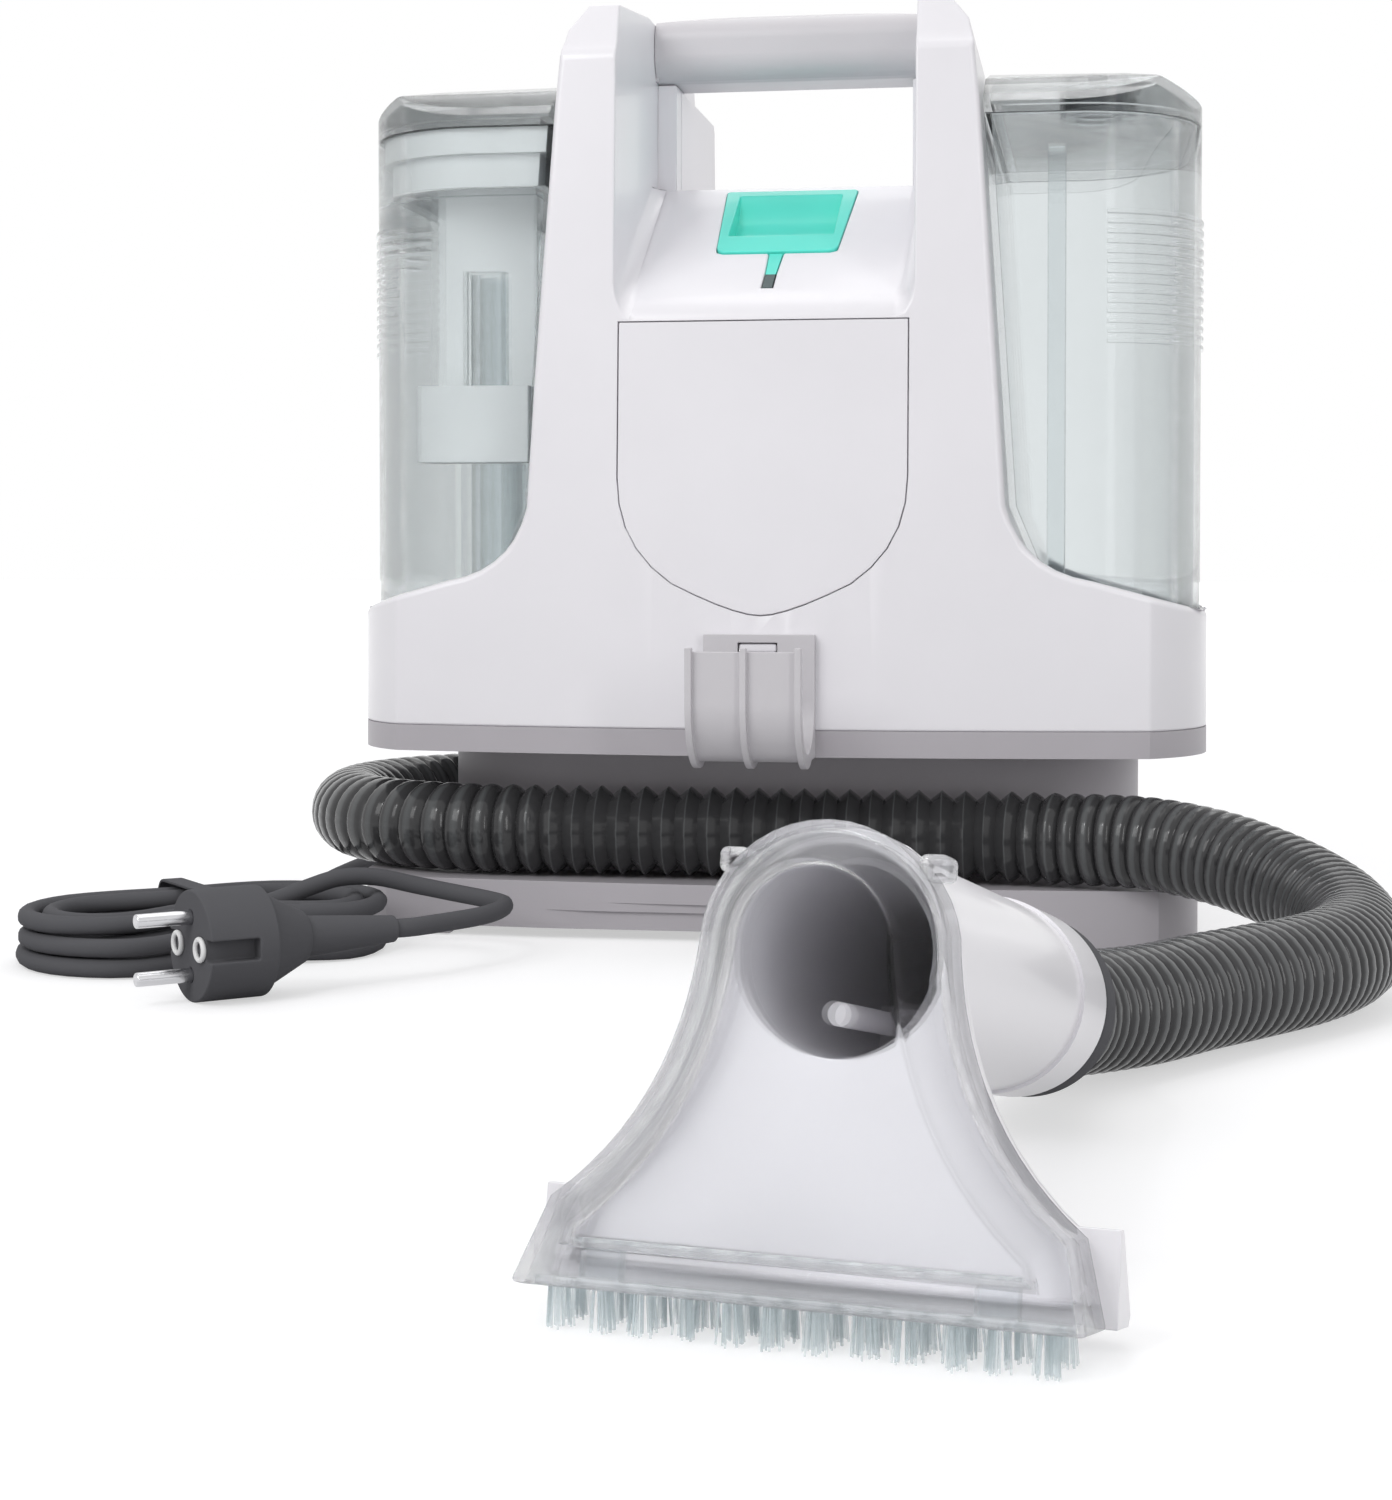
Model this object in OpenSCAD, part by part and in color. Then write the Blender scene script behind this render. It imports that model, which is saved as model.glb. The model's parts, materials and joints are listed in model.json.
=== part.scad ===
// Portable spot extractor: two clear tanks on a white body, a ribbed suction
// hose stored round the base, a hand tool with a clear nozzle and a mains lead.
// Origin at the centre of the footprint on the floor, +X to the clean tank,
// -Y to the front, +Z up.  Millimetres.

/* [Body] */
// Width of the lower body
body_w = 333; // [325:1:350]
// Depth of the lower body over its straight sides
body_d = 206; // [200:1:216]
// How far the front and the back bow out
body_bow = 7; // [5:0.5:9]
// Corner radius of the lower body in plan
body_r = 58; // [52:1:60]
// Wall of the white shells
wall = 3; // [2.5:0.1:3.5]
// Height of the rim round the tank wells
rim_z = 126; // [124:1:130]
// Height of the floor of the tank wells
deck_z = 113; // [112:0.5:115]
// Overall height of the handle posts
tower_h = 366; // [362:1:370]
// Outer width over the handle posts at the top
tower_w = 160; // [156:1:164]
// Clear width between the handle posts
grip_gap = 114; // [108:1:116]
// Height of the roof under the handle
roof_z = 298; // [294:1:301]
// Plane where the front and rear shells meet
seam_y = 6; // [2:1:10]

/* [Base] */
// Width of the bottom flange
flange_w = 326; // [318:1:332]
// Depth of the bottom flange over its straight sides
flange_d = 204; // [200:1:208]
// Corner radius of the flange
flange_r = 40; // [36:1:44]
// Top of the flange, where the stored hose lies
flange_h = 22; // [21.6:0.2:22.4]
// Width of the neck that the hose wraps
neck_w = 282; // [276:1:284]
// Depth of the neck
neck_d = 132; // [128:1:133]
// Top of the neck, underside of the skirt
neck_h = 71; // [70.5:0.5:72]
// Height of the grey skirt band
band_h = 10; // [8:0.5:12]
// Gap under the flange between the feet
arch_h = 4; // [3:0.5:5]
// Half distance between the feet
foot_x = 122; // [118:1:126]

/* [Handle] */
// Height of the handle bar section
bar_h = 25; // [22:0.5:27]
// Depth of the handle bar section
bar_d = 40; // [34:1:44]

/* [Tanks] */
// Depth of each tank
tank_d = 188; // [180:1:189]
// Wall of the clear tanks
tank_wall = 2.5; // [2:0.1:3]
// Outer corner radius of the tanks
tank_r = 50; // [44:1:54]
// Height where the lids sit
lid_z = 312; // [308:1:314]
// Height of the top of the lids
lid_top = 336; // [333:1:338]
// Running clearance round a tank
tank_gap = 0.5; // [0.4:0.1:0.8]
// Number of grip ribs on each tank
rib_n = 14; // [10:1:14]
// Outer radius of the standing pipes
pipe_r = 12; // [11:0.5:12.5]
// Travel of the float
float_rise = 42; // [30:1:45]

/* [Controls] */
// Width of the power button
button_w = 54; // [46:1:56]
// Length of the power button up the slope
button_l = 61.6; // [56:0.2:63]
// Depth of the power button into the body
button_t = 10; // [9:0.5:11]
// Travel of the power button
button_travel = 2.5; // [1.5:0.1:3]

/* [Fan and pump] */
// Radius of the suction motor
motor_r = 40; // [36:1:44]
// Height of the suction motor
motor_h = 70; // [60:1:76]
// Radius of the impeller
fan_r = 46; // [42:1:48]
// Radius of the motor shaft
shaft_r = 4; // [3:0.5:5]
// Radius of the water pump
pump_r = 17; // [14:0.5:18]

/* [Hose] */
// Outer diameter of the ribbed hose
hose_d = 35; // [33:0.5:35]
// Bore of the hose
hose_bore = 25; // [22:0.5:26]
// Depth of the ribs
rib_depth = 2.2; // [1.5:0.1:2.5]

/* [Tool] */
// Width of the tool's mouth
mouth_w = 110; // [104:1:114]
// Height of the tool's mouth edge over the floor
mouth_z = 10; // [9:0.5:11]
// Radius of the arch and of the grip behind it
grip_r = 23; // [22:0.25:23.5]
// Height of the grip's axis over the mouth edge
arch_h2 = 66; // [64:0.5:68]
// Depth of the clear nozzle
nozzle_d = 20; // [18:0.5:22]
// Length of the grip behind the nozzle
grip_len = 164; // [158:1:170]
// Backward lean of the nozzle
tool_tilt = 12.6; // [12.2:0.1:12.8]

/* [Mains lead] */
// Diameter of the mains lead
cord_d = 6.6; // [6:0.1:6.6]
// Loops in the tied hank
loop_n = 9; // [9:1:9]
// Radius of the plug
plug_r = 18.5; // [17:0.5:18.5]

/* [Hidden] */
$fn = 64;
gap = 0.3;               // gap between pieces that are only placed together
white = [0.90, 0.89, 0.91];
grey = [0.62, 0.61, 0.64];
light_grey = [0.74, 0.73, 0.76];
aqua = [0.36, 0.87, 0.81];
clear = [0.74, 0.82, 0.81, 0.45];
black = [0.10, 0.10, 0.11];
steel = [0.70, 0.70, 0.72];

half_w = body_w / 2;
post_in = grip_gap / 2;
post_out = tower_w / 2;
band_z = neck_h;
shell_z = band_z + band_h;
knee_z = 165;            // where the tower starts to flare
swoop_z = 141;           // where the flare meets the rim line
foot_half = post_out + 23;
tank_x = half_w - 2 - tank_gap;   // outer side of a tank
tank_bottom = deck_z + 1.4;
tilt_z = 245.3;          // crease between the ledge over the front cover and the slope
ledge_h = 10;
ledge_in = 7.5;
ledge_z = tilt_z - ledge_h;
valley_r = 8;            // fillets of the slope along the posts
cheek_t = 8;             // how far the rear half of the posts stands in
cheek_y = -6;
lean = 11;               // how far the posts lean back over their height
crown_h = 28;            // height of the crown of the posts

in_pipe = [-121, -20];   // ports in the well floors
out_pipe = [-121, 34];
clean_port = [121, -20];
hole_r = 8;
riser = in_pipe + [5, 2]; // the dirty duct climbs beside its port, clear of the neck

// ---- small helpers ----
module rounded_plate(w, d, r, z0, z1) {
    translate([0, 0, z0]) linear_extrude(z1 - z0) union() {
        square([w - 2 * r, d], center = true);
        square([w, d - 2 * r], center = true);
        for (x = [-1, 1], y = [-1, 1])
            translate([x * (w / 2 - r), y * (d / 2 - r)]) circle(r);
    }
}
module bowed_plate(w, d, r, bow, z0, z1) {
    h = w / 2 - r;
    big = (h * h + bow * bow) / (2 * bow);
    intersection() {
        rounded_plate(w, d + 2 * bow, r, z0, z1);
        translate([0, big - d / 2 - bow, z0]) cylinder(r = big, h = z1 - z0, $fn = 128);
        translate([0, -big + d / 2 + bow, z0]) cylinder(r = big, h = z1 - z0, $fn = 128);
    }
}
module along_x(x0, x1) {
    translate([x0, 0, 0]) rotate([90, 0, 90]) linear_extrude(x1 - x0) children();
}
module along_y(y0, y1) {
    translate([0, y1, 0]) rotate([90, 0, 0]) linear_extrude(y1 - y0) children();
}
module rod_y(x, z, r, y0, y1) {
    translate([x, y1, z]) rotate([90, 0, 0]) cylinder(r = r, h = y1 - y0);
}
module rod_x(y, z, r, x0, x1) {
    translate([x0, y, z]) rotate([0, 90, 0]) cylinder(r = r, h = x1 - x0);
}
module ring(r_out, r_in, z0, z1) {
    translate([0, 0, z0]) difference() {
        cylinder(r = r_out, h = z1 - z0);
        translate([0, 0, -1]) cylinder(r = r_in, h = z1 - z0 + 2);
    }
}
// straight runs of round pipe with ball corners
module pipe_run(pts, r) {
    for (i = [0:len(pts) - 2]) {
        d = pts[i + 1] - pts[i];
        translate(pts[i]) rotate([0, acos(d[2] / norm(d)), atan2(d[1], d[0])])
            cylinder(r = r, h = norm(d));
    }
    for (i = [1:1:len(pts) - 2]) translate(pts[i]) sphere(r * 1.03);
}
module pipe(pts, r_out, r_in) {
    n = len(pts);
    e0 = (pts[0] - pts[1]) / norm(pts[0] - pts[1]);
    e1 = (pts[n - 1] - pts[n - 2]) / norm(pts[n - 1] - pts[n - 2]);
    longer = [for (i = [0:n - 1]) i == 0 ? pts[0] + e0 : i == n - 1 ? pts[n - 1] + e1 : pts[i]];
    difference() {
        pipe_run(pts, r_out);
        pipe_run(longer, r_in);
    }
}
// straight runs of square channel along the axes, run on by e0 and e1 at their ends
module channel_run(pts, h, e0, e1) {
    n = len(pts) - 1;
    for (i = [0:n - 1]) {
        d = (pts[i + 1] - pts[i]) / norm(pts[i + 1] - pts[i]);
        a = pts[i] - d * (i == 0 ? e0 : h);
        b = pts[i + 1] + d * (i == n - 1 ? e1 : h);
        translate([for (k = [0:2]) min(a[k], b[k]) - h * (1 - abs(d[k]))])
            cube([for (k = [0:2]) abs(b[k] - a[k]) + 2 * h * (1 - abs(d[k]))]);
    }
}
function bezier(a, b, c, n) = [for (i = [0:n]) let (t = i / n)
    (1 - t) * (1 - t) * a + 2 * t * (1 - t) * b + t * t * c];
function mirror_x(p) = [for (i = [len(p) - 1:-1:0]) [-p[i][0], p[i][1]]];

// ---- outer forms of the body ----
// plan form of the body, inset by t
module plan_form(t, z0, z1) {
    bowed_plate(body_w - 2 * t, body_d - 2 * t, body_r - t, body_bow, z0, z1);
}
function front_y(z) = -(body_d / 2 + body_bow)
    + lean * max(0, z - rim_z) / (tower_h - crown_h - rim_z);
// side form: the tower leans back a little, with a ledge under its crown
module lean_form(t, z0) {
    y_low = body_d / 2 + body_bow - t;
    y_top = y_low - lean;
    top = tower_h - t;
    back = [[y_low, z0], [y_low, rim_z], [y_top, top - crown_h], [y_top - 4, top - crown_h + 5.5],
        [y_top - 9, top - 8], [25, top]];
    along_x(-half_w - 1, half_w + 1) polygon(concat(back, mirror_x(back)));
}
// half outline of the tower side, foot to top
function tower_side(t) = [[foot_half - t, 60], [foot_half - t, deck_z], [foot_half - 2 - t, swoop_z],
    [post_out + 11 - t, knee_z], [post_out + 1 - t, tower_h - 50], [post_out - 1 - t, tower_h - 28],
    [post_out - 3.5 - t, tower_h - 18], [post_out - 9 - t, tower_h - 11],
    [post_out - 17 - t * 0.6, tower_h - t]];
// the tower with the hand opening, inset by t
module tower_form(t, z0) {
    low = tower_side(t);
    side = [for (p = low) p[1] <= z0 ? [p[0], z0] : p];
    half = concat(side, [[post_in + t, tower_h - t], [post_in + t, roof_z - t]]);
    along_y(-body_d, body_d) polygon(concat(half, mirror_x(half)));
}
// the wings that sweep from the tower down to the rim
function wing_side() = concat([[half_w + 1, 60], [half_w + 1, rim_z], [half_w - 3, rim_z]],
    bezier([foot_half + 20, swoop_z - 4], [foot_half - 6, swoop_z], [post_out + 11, knee_z], 7),
    [[post_out + 1, tower_h - 50], [post_out - 1, tower_h - 28], [post_out - 3.5, tower_h - 18],
    [post_out - 9, tower_h - 11], [post_out - 17, tower_h]]);
module wing_form() {
    half = concat(wing_side(), [[post_in, tower_h], [post_in, roof_z]]);
    along_y(-body_d, body_d) polygon(concat(half, mirror_x(half)));
}
// inner side of a tank follows the tower
function tank_inner(t, z0, z1) = let (s = tower_side(-1 - t)) [[tank_x + 1, z0],
    [s[1][0], z0], [s[2][0], swoop_z], [s[3][0], knee_z], [s[4][0], tower_h - 50],
    [s[4][0], z1], [tank_x + 1, z1]];
// one tank block on the +X side, inset by t, from z0 to z1
module tank_block(t, z0, z1) {
    x0 = post_out - 6;
    turn_x = tank_x - tank_r;
    turn_y = tank_d / 2 - tank_r;
    intersection() {
        translate([0, 0, z0]) linear_extrude(z1 - z0) union() {
            translate([x0, -tank_d / 2 + t]) square([turn_x - x0, tank_d - 2 * t]);
            translate([x0, -turn_y]) square([tank_x - t - x0, 2 * turn_y]);
            for (k = [-1, 1]) translate([turn_x, k * turn_y]) circle(tank_r - t);
        }
        along_y(-tank_d, tank_d) polygon(tank_inner(t, z0, z1));
    }
}
module both_sides() {
    children();
    mirror([1, 0, 0]) children();
}

// ---- base ----
module flange_form(t, z0, z1) {
    bowed_plate(flange_w - 2 * t, flange_d - 2 * t, flange_r - t, body_bow - 1, z0, z1);
}
foot_pads = [for (x = [-1, 1], y = [-1, 1]) [x * (foot_x + 16), y * 74]];
base_bosses = [for (x = [-1, 1], y = [-1, 1]) [x * 100, y * 50]];
gland_x = -112;
gland_z = 12.5;
port_x = 42;
port_z = flange_h + hose_d / 2 + 0.5;
port_bend = 20;
module base_pan() {
    edge_y = flange_d / 2 + body_bow;
    color(grey) difference() {
        union() {
            flange_form(0, 0.6, flange_h);
            rounded_plate(neck_w, neck_d, 60, arch_h, neck_h);
        }
        // arch between the feet, front, back and sides
        translate([-foot_x, -edge_y - 1, -1]) cube([2 * foot_x, 2 * edge_y + 2, arch_h + 1]);
        translate([-flange_w, -55, -1]) cube([2 * flange_w, 110, arch_h + 1]);
        for (s = [0, 1]) mirror([0, s, 0]) {
            translate([-foot_x, -edge_y - 1, -1]) cube([2 * foot_x, 3.4, 15.3]);
            translate([-foot_x + 3, -edge_y - 1, -1]) cube([2 * foot_x - 6, 4.8, 12]);
        }
        // inside of the neck, open at the top
        rounded_plate(neck_w - 2 * wall, neck_d - 2 * wall, 60 - wall, arch_h + wall, neck_h + 1);
        // hollow of the flange round the neck, open below
        difference() {
            flange_form(2 * wall, -1, flange_h - wall);
            rounded_plate(neck_w, neck_d, 60, -2, flange_h);
            for (p = foot_pads) translate([p[0], p[1], -2]) cylinder(r = 13, h = flange_h);
            translate([gland_x - 12, 60, -2]) cube([24, 60, flange_h]);
        }
        for (p = foot_pads) translate([p[0], p[1], -1]) cylinder(r = 9.3, h = 4.5);
        rod_y(port_x + port_bend, port_z, hose_bore / 2 + 4.8, neck_d / 2 - 10, neck_d / 2 + 1);
        rod_y(gland_x, gland_z, 6.3, neck_d / 2 + 20, edge_y + 5);
        for (p = base_bosses) translate([p[0], p[1], 0]) cylinder(r = 3.4, h = 20);
    }
    color(grey) for (p = base_bosses) translate([p[0], p[1], 0]) difference() {
        translate([0, 0, arch_h]) cylinder(r = 6, h = neck_h - arch_h);
        translate([0, 0, -1]) cylinder(r = 3.4, h = neck_h - 6);
        cylinder(r = 1.6, h = neck_h + 1);
    }
}
module rubber_feet() {
    color(black) for (p = foot_pads) translate([p[0], p[1], 0]) difference() {
        cylinder(r = 9, h = 3.5);
        translate([0, 0, -1]) cylinder(r = 3, h = 2);
    }
}
module screw(r, len, head_r, head_h) {
    cylinder(r = r, h = len);
    translate([0, 0, -head_h]) difference() {
        cylinder(r = head_r, h = head_h);
        translate([-head_r * 0.6, -0.4, -0.1]) cube([head_r * 1.2, 0.8, 0.9]);
        translate([-0.4, -head_r * 0.6, -0.1]) cube([0.8, head_r * 1.2, 0.9]);
    }
}
module base_screws() {
    color(steel) {
        for (p = base_bosses) translate([p[0], p[1], neck_h - 7]) screw(1.5, 14, 3, 2.5);
        for (p = shell_bosses) translate([p[0], p[1], band_z]) screw(1.5, 14, 3, 2.5);
    }
}
shell_bosses = [for (x = [-1, 1], y = [-1, 1]) [x * 132, y * 64]];
module skirt_band() {
    color(grey) difference() {
        union() {
            plan_form(0, band_z, shell_z);
            for (p = base_bosses) translate([p[0], p[1], shell_z - 8]) cylinder(r = 4.5, h = 14);
        }
        difference() {
            plan_form(wall, band_z + wall, shell_z + 1);
            for (p = base_bosses) translate([p[0], p[1], band_z]) cylinder(r = 4.5, h = 30);
        }
        rounded_plate(180, 100, 30, band_z - 1, shell_z + 8);
        translate([riser[0] - 14.6, riser[1] - 14.6, band_z - 1]) cube([29.2, 29.2, 20]);
        translate([clean_port[0], clean_port[1], band_z - 1]) cylinder(r = 4.6, h = 20);
        for (p = base_bosses) translate([p[0], p[1], band_z - 1]) cylinder(r = 1.6, h = 14);
        for (p = shell_bosses) translate([p[0], p[1], band_z - 1]) cylinder(r = 1.6, h = 20);
    }
}

// ---- white shells ----
bolt_posts = [[post_in + 6.5, tower_h - 20], [60, 196]];
bar_y = 6;
bar_z = tower_h - 24;
tenon_d = bar_d - 8;
tenon_h = bar_h - 13;
grille_z = 112;
cover_t = 2.6;
slope = 60;              // lean of the slope under the handle, from upright
slope_y = front_y(ledge_z) + ledge_in;
slope_len = (roof_z - tilt_z) / cos(slope);
button_u = slope_len - 4.4 - button_l / 2;
button_c = [0, slope_y + button_u * sin(slope), tilt_z + button_u * cos(slope)];
module cover_outline(t) {
    tip = bezier([34 - t, 136 + t * 0.4], [10, 124 + t], [0, 124 + t], 5);
    half = concat([[post_in - 2 - t, ledge_z - gap - t]],
        bezier([post_in - 2 - t, 176], [post_in - 2 - t, 150], [34 - t, 136 + t * 0.4], 5),
        [for (i = [1:4]) tip[i]]);
    polygon(concat(half, [tip[5]], mirror_x(half)));
}
// space behind the front face, t behind it, and s behind the slope over it
module behind_cover(t, s) {
    y = slope_y + s / cos(slope);
    rise = roof_z + 10 - tilt_z;
    intersection() {
        along_x(-post_in - 20, post_in + 20) polygon([[front_y(60) + t, 60],
            [front_y(60) + t, rim_z], [front_y(ledge_z) + t, ledge_z], [y, tilt_z],
            [y + rise * tan(slope), tilt_z + rise], [body_d, tilt_z + rise], [body_d, 60]]);
        plan_form(t, 60, tower_h);
    }
}
// space over a surface that leans by a from the crease, with fillets along the posts
module valley(a, z0, z1) {
    side = [for (i = [0:6]) [post_in - valley_r * (1 - sin(i * 15)), -valley_r * (1 - cos(i * 15))]];
    half = concat(side, [[post_in, -90]]);
    translate([0, slope_y, tilt_z]) rotate([-a, 0, 0]) translate([0, 0, z0])
        linear_extrude(z1 - z0) polygon(concat(half, mirror_x(half)));
}
// the rear half of the posts stands in under the handle bar
module cheeks(t) {
    both_sides() translate([post_in - cheek_t + t, cheek_y + t, roof_z - (t > 0 ? 0 : 12)])
        cube([cheek_t + 1, body_d, bar_z - gap - t - roof_z + (t > 0 ? 0 : 12)]);
}
module shells() {
    inner_h = deck_z - wall;
    difference() {
        intersection() {
            plan_form(0, shell_z, tower_h + 1);
            union() {
                difference() {
                    wing_form();
                    // ledge and slope between the posts
                    valley(atan(ledge_in / ledge_h), -20, 40);
                    valley(slope, -12, slope_len);
                }
                cheeks(0);
            }
            lean_form(0, shell_z - 1);
        }
        // inside of the tower and of the lower body
        intersection() {
            plan_form(wall, shell_z - 1, tower_h);
            tower_form(wall, shell_z - 1);
            lean_form(wall, shell_z - 2);
            difference() {
                translate([-half_w, -body_d, 0]) cube([body_w, 2 * body_d, tower_h]);
                difference() {
                    translate([-post_in - wall, -body_d, 110])
                        cube([grip_gap + 2 * wall, body_d + 30, roof_z - 110]);
                    behind_cover(cover_t + gap + wall, wall);
                }
            }
        }
        intersection() {
            cheeks(wall);
            plan_form(wall, shell_z, tower_h);
            lean_form(wall, shell_z);
        }
        plan_form(wall, shell_z - 1, inner_h);
        both_sides() tank_block(-tank_gap, deck_z, tower_h + 1);
        // recess of the front cover
        intersection() {
            along_y(-body_d, 0) cover_outline(-gap);
            difference() {
                translate([-post_in - 1, -body_d, 100]) cube([grip_gap + 2, body_d, 200]);
                behind_cover(cover_t + gap, 0);
            }
        }
        // ports in the well floors
        for (p = [in_pipe, out_pipe, clean_port])
            translate([p[0], p[1], inner_h - 1]) cylinder(r = hole_r + gap, h = wall + 2);
        // holes of the handle tenons
        for (s = [0, 1]) mirror([s, 0, 0])
            translate([post_in - 1, bar_y - tenon_d / 2 - 0.2, bar_z + 0.3])
                cube([wall + 2, tenon_d + 0.4, tenon_h + 0.4]);
        // hole of the exhaust grille
        translate([-33, body_d / 2 - 20, grille_z]) cube([66, 60, 46]);
        // slots of the power button and of its light guide
        in_slope() {
            button_prism(gap, -20, 20);
            guide_prism(gap, -20, 6);
        }
    }
    // bosses
    for (p = shell_bosses) translate([p[0], p[1], band_z + wall]) difference() {
        cylinder(r = 5, h = inner_h - band_z - wall + 1);
        translate([0, 0, -1]) cylinder(r = 1.6, h = 14);
    }
}
module bolt_boss(x, z, y0, y1) {
    for (s = [-1, 1]) rod_y(s * x, z, 5, y0, y1);
}
module bolt_holes() {
    for (p = bolt_posts, s = [-1, 1]) rod_y(s * p[0], p[1], 1.7, -60, 200);
}
module front_shell() {
    color(white) difference() {
        union() {
            intersection() {
                shells();
                translate([-body_w, -body_d, 0]) cube([2 * body_w, body_d + seam_y, tower_h + 1]);
            }
            bolt_boss(bolt_posts[0][0], bolt_posts[0][1], -91.4, bar_y - tenon_d / 2 - 0.2);
            bolt_boss(bolt_posts[1][0], bolt_posts[1][1], -104, seam_y);
            // tongue that holds the tool hook
            translate([-7.7, hook_y - 2.5, hook_z + 17.3]) cube([14.4, 6, 3.4]);
        }
        bolt_holes();
    }
}
module rear_shell() {
    color(white) difference() {
        union() {
            intersection() {
                shells();
                translate([-body_w, seam_y, 0]) cube([2 * body_w, body_d, tower_h + 1]);
            }
            bolt_boss(bolt_posts[0][0], bolt_posts[0][1], bar_y + tenon_d / 2 + 0.2, 91.4);
            bolt_boss(bolt_posts[1][0], bolt_posts[1][1], seam_y, 104);
        }
        bolt_holes();
        for (p = bolt_posts, s = [-1, 1]) rod_y(s * p[0], p[1], 3.4, 86, 200);
    }
}
module shell_bolts() {
    color(steel) for (p = bolt_posts, s = [-1, 1])
        translate([s * p[0], 86, p[1]]) rotate([90, 0, 0]) screw(1.5, 120, 3, 3);
}
module front_cover() {
    color(white) difference() {
        intersection() {
            along_y(-body_d, 0) cover_outline(0.2);
            behind_cover(0, 0);
        }
        behind_cover(cover_t, 0);
    }
}
module button_prism(t, y0, y1) {
    w = button_w / 2 + t;
    l = button_l / 2 + t;
    half = [[w - 1, l], [w, l - 1], [w - 3, -l + 4], [w - 4, -l + 1.4], [w - 6.5, -l]];
    along_y(y0, y1) polygon(concat(half, mirror_x(half)));
}
// the light guide runs down from the button and narrows
guide_len = 32;
module guide_prism(t, y0, y1) {
    top = -button_l / 2 - 0.6 + 2 * t;
    half = [[2.6 + t, top], [1.9 + t, top - 20], [1.9 + t, top - guide_len - 3 * t]];
    along_y(y0, y1) polygon(concat(half, mirror_x(half)));
}
module in_slope() {
    translate(button_c) rotate([-slope, 0, 0]) children();
}
module handle_bar() {
    r = bar_h / 2 - 2;
    big = 640;
    color(light_grey) {
        intersection() {
            along_x(-post_in + 0.2, post_in - 0.2) translate([bar_y, bar_z]) union() {
                translate([-bar_d / 2 + r, 0]) square([bar_d - 2 * r, bar_h + 4]);
                for (s = [-1, 1]) translate([s * (bar_d / 2 - r), 0]) {
                    translate([0, r]) circle(r);
                    translate([0, bar_h + 2 - r]) circle(r);
                    translate([-r, r]) square([2 * r, bar_h + 2 - 2 * r]);
                }
            }
            rod_y(0, bar_z + bar_h + 2 - big, big, -100, 100, $fn = 256);
        }
        for (s = [0, 1]) mirror([s, 0, 0]) difference() {
            translate([post_in - 1, bar_y - tenon_d / 2, bar_z + 0.5])
                cube([wall + 8.6, tenon_d, tenon_h]);
            rod_y(bolt_posts[0][0], bolt_posts[0][1], 1.7, -60, 60);
        }
    }
}
module exhaust_grille() {
    color(grey) difference() {
        intersection() {
            translate([-32.5, 60, grille_z + 0.5]) cube([65, 60, 45]);
            plan_form(0.8, 60, tower_h);
            lean_form(0.8, 60);
        }
        intersection() {
            plan_form(0.8 + wall, 50, tower_h + 1);
            lean_form(0.8 + wall, 50);
        }
        for (i = [0:6]) translate([-27, 60, grille_z + 5 + i * 5.6]) cube([54, 60, 2.8]);
    }
}
hook_w = 42;
hook_r = 19;
hook_y = -(body_d / 2 + body_bow) - 0.1;
hook_z = neck_h + 22;
module tool_hook() {
    back_t = 3.5;
    out = hook_r + 3;
    cy = hook_y - back_t - hook_r;
    color(light_grey) difference() {
        union() {
            translate([-hook_w / 2, hook_y - back_t, hook_z]) cube([hook_w, back_t, 24]);
            rod_x(cy, hook_z, out, -hook_w / 2, hook_w / 2);
            translate([-hook_w / 2, cy - out, hook_z]) cube([hook_w, 3, 19]);
            translate([-hook_w / 2, cy, hook_z - out]) cube([hook_w, out + 0.5, out]);
            for (x = [-1, 0, 1]) translate([x * (hook_w / 2 - 1.2) - 1.2, 0, 0]) {
                rod_x(cy, hook_z, out + 2.5, 0, 2.4);
                translate([0, cy - out - 2.5, hook_z]) cube([2.4, 4, 20.5]);
            }
        }
        rod_x(cy, hook_z, hook_r, -hook_w, hook_w);
        translate([-hook_w, cy - hook_r, hook_z]) cube([2 * hook_w, 2 * hook_r, 40]);
        translate([-hook_w, hook_y, 0]) cube([2 * hook_w, 40, 400]);
        translate([-8, hook_y - 10, hook_z + 17]) cube([15, 12, 4]);
    }
}

// ---- controls ----
module power_button() {
    color(aqua) in_slope() difference() {
        union() {
            button_prism(0, -0.8, button_t);
            translate([-6, button_t - 0.1, -6]) cube([12, 4.1, 12]);
        }
        // scooped finger recess
        translate([0, -21.5, 5]) rotate([0, 90, 0]) translate([0, 0, -button_w / 2 + 6])
            cylinder(r = button_t + 19, h = button_w - 12);
    }
}
spring_at = button_t + 4 + button_travel + gap;
spring_len = 2.95;
switch_at = spring_at + spring_len + 0.05;
module button_spring() {
    color(steel) in_slope() translate([0, spring_at, 0]) rotate([-90, 0, 0]) ring(4, 3, 0, spring_len);
}
module power_switch() {
    x = button_w / 2 + gap + 4;
    color(black) in_slope() {
        translate([-10, switch_at, -7]) cube([20, 14, 14]);
        for (k = [-1, 1]) translate([k * x - 2, wall + 0.05, -5]) cube([4, switch_at + 3 - wall, 10]);
        translate([-x - 2, switch_at + 1.2, -5]) cube([2 * x + 4, 2.4, 10]);
        translate([-2, spring_at + 0.4, -2]) cube([4, spring_len, 4]);
    }
}
module light_guide() {
    color(aqua) in_slope() {
        guide_prism(0, 0.2, wall + 0.3);
        translate([-5, wall + 0.1, -button_l / 2 - guide_len - 2]) cube([10, 1.4, guide_len]);
    }
}
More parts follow.
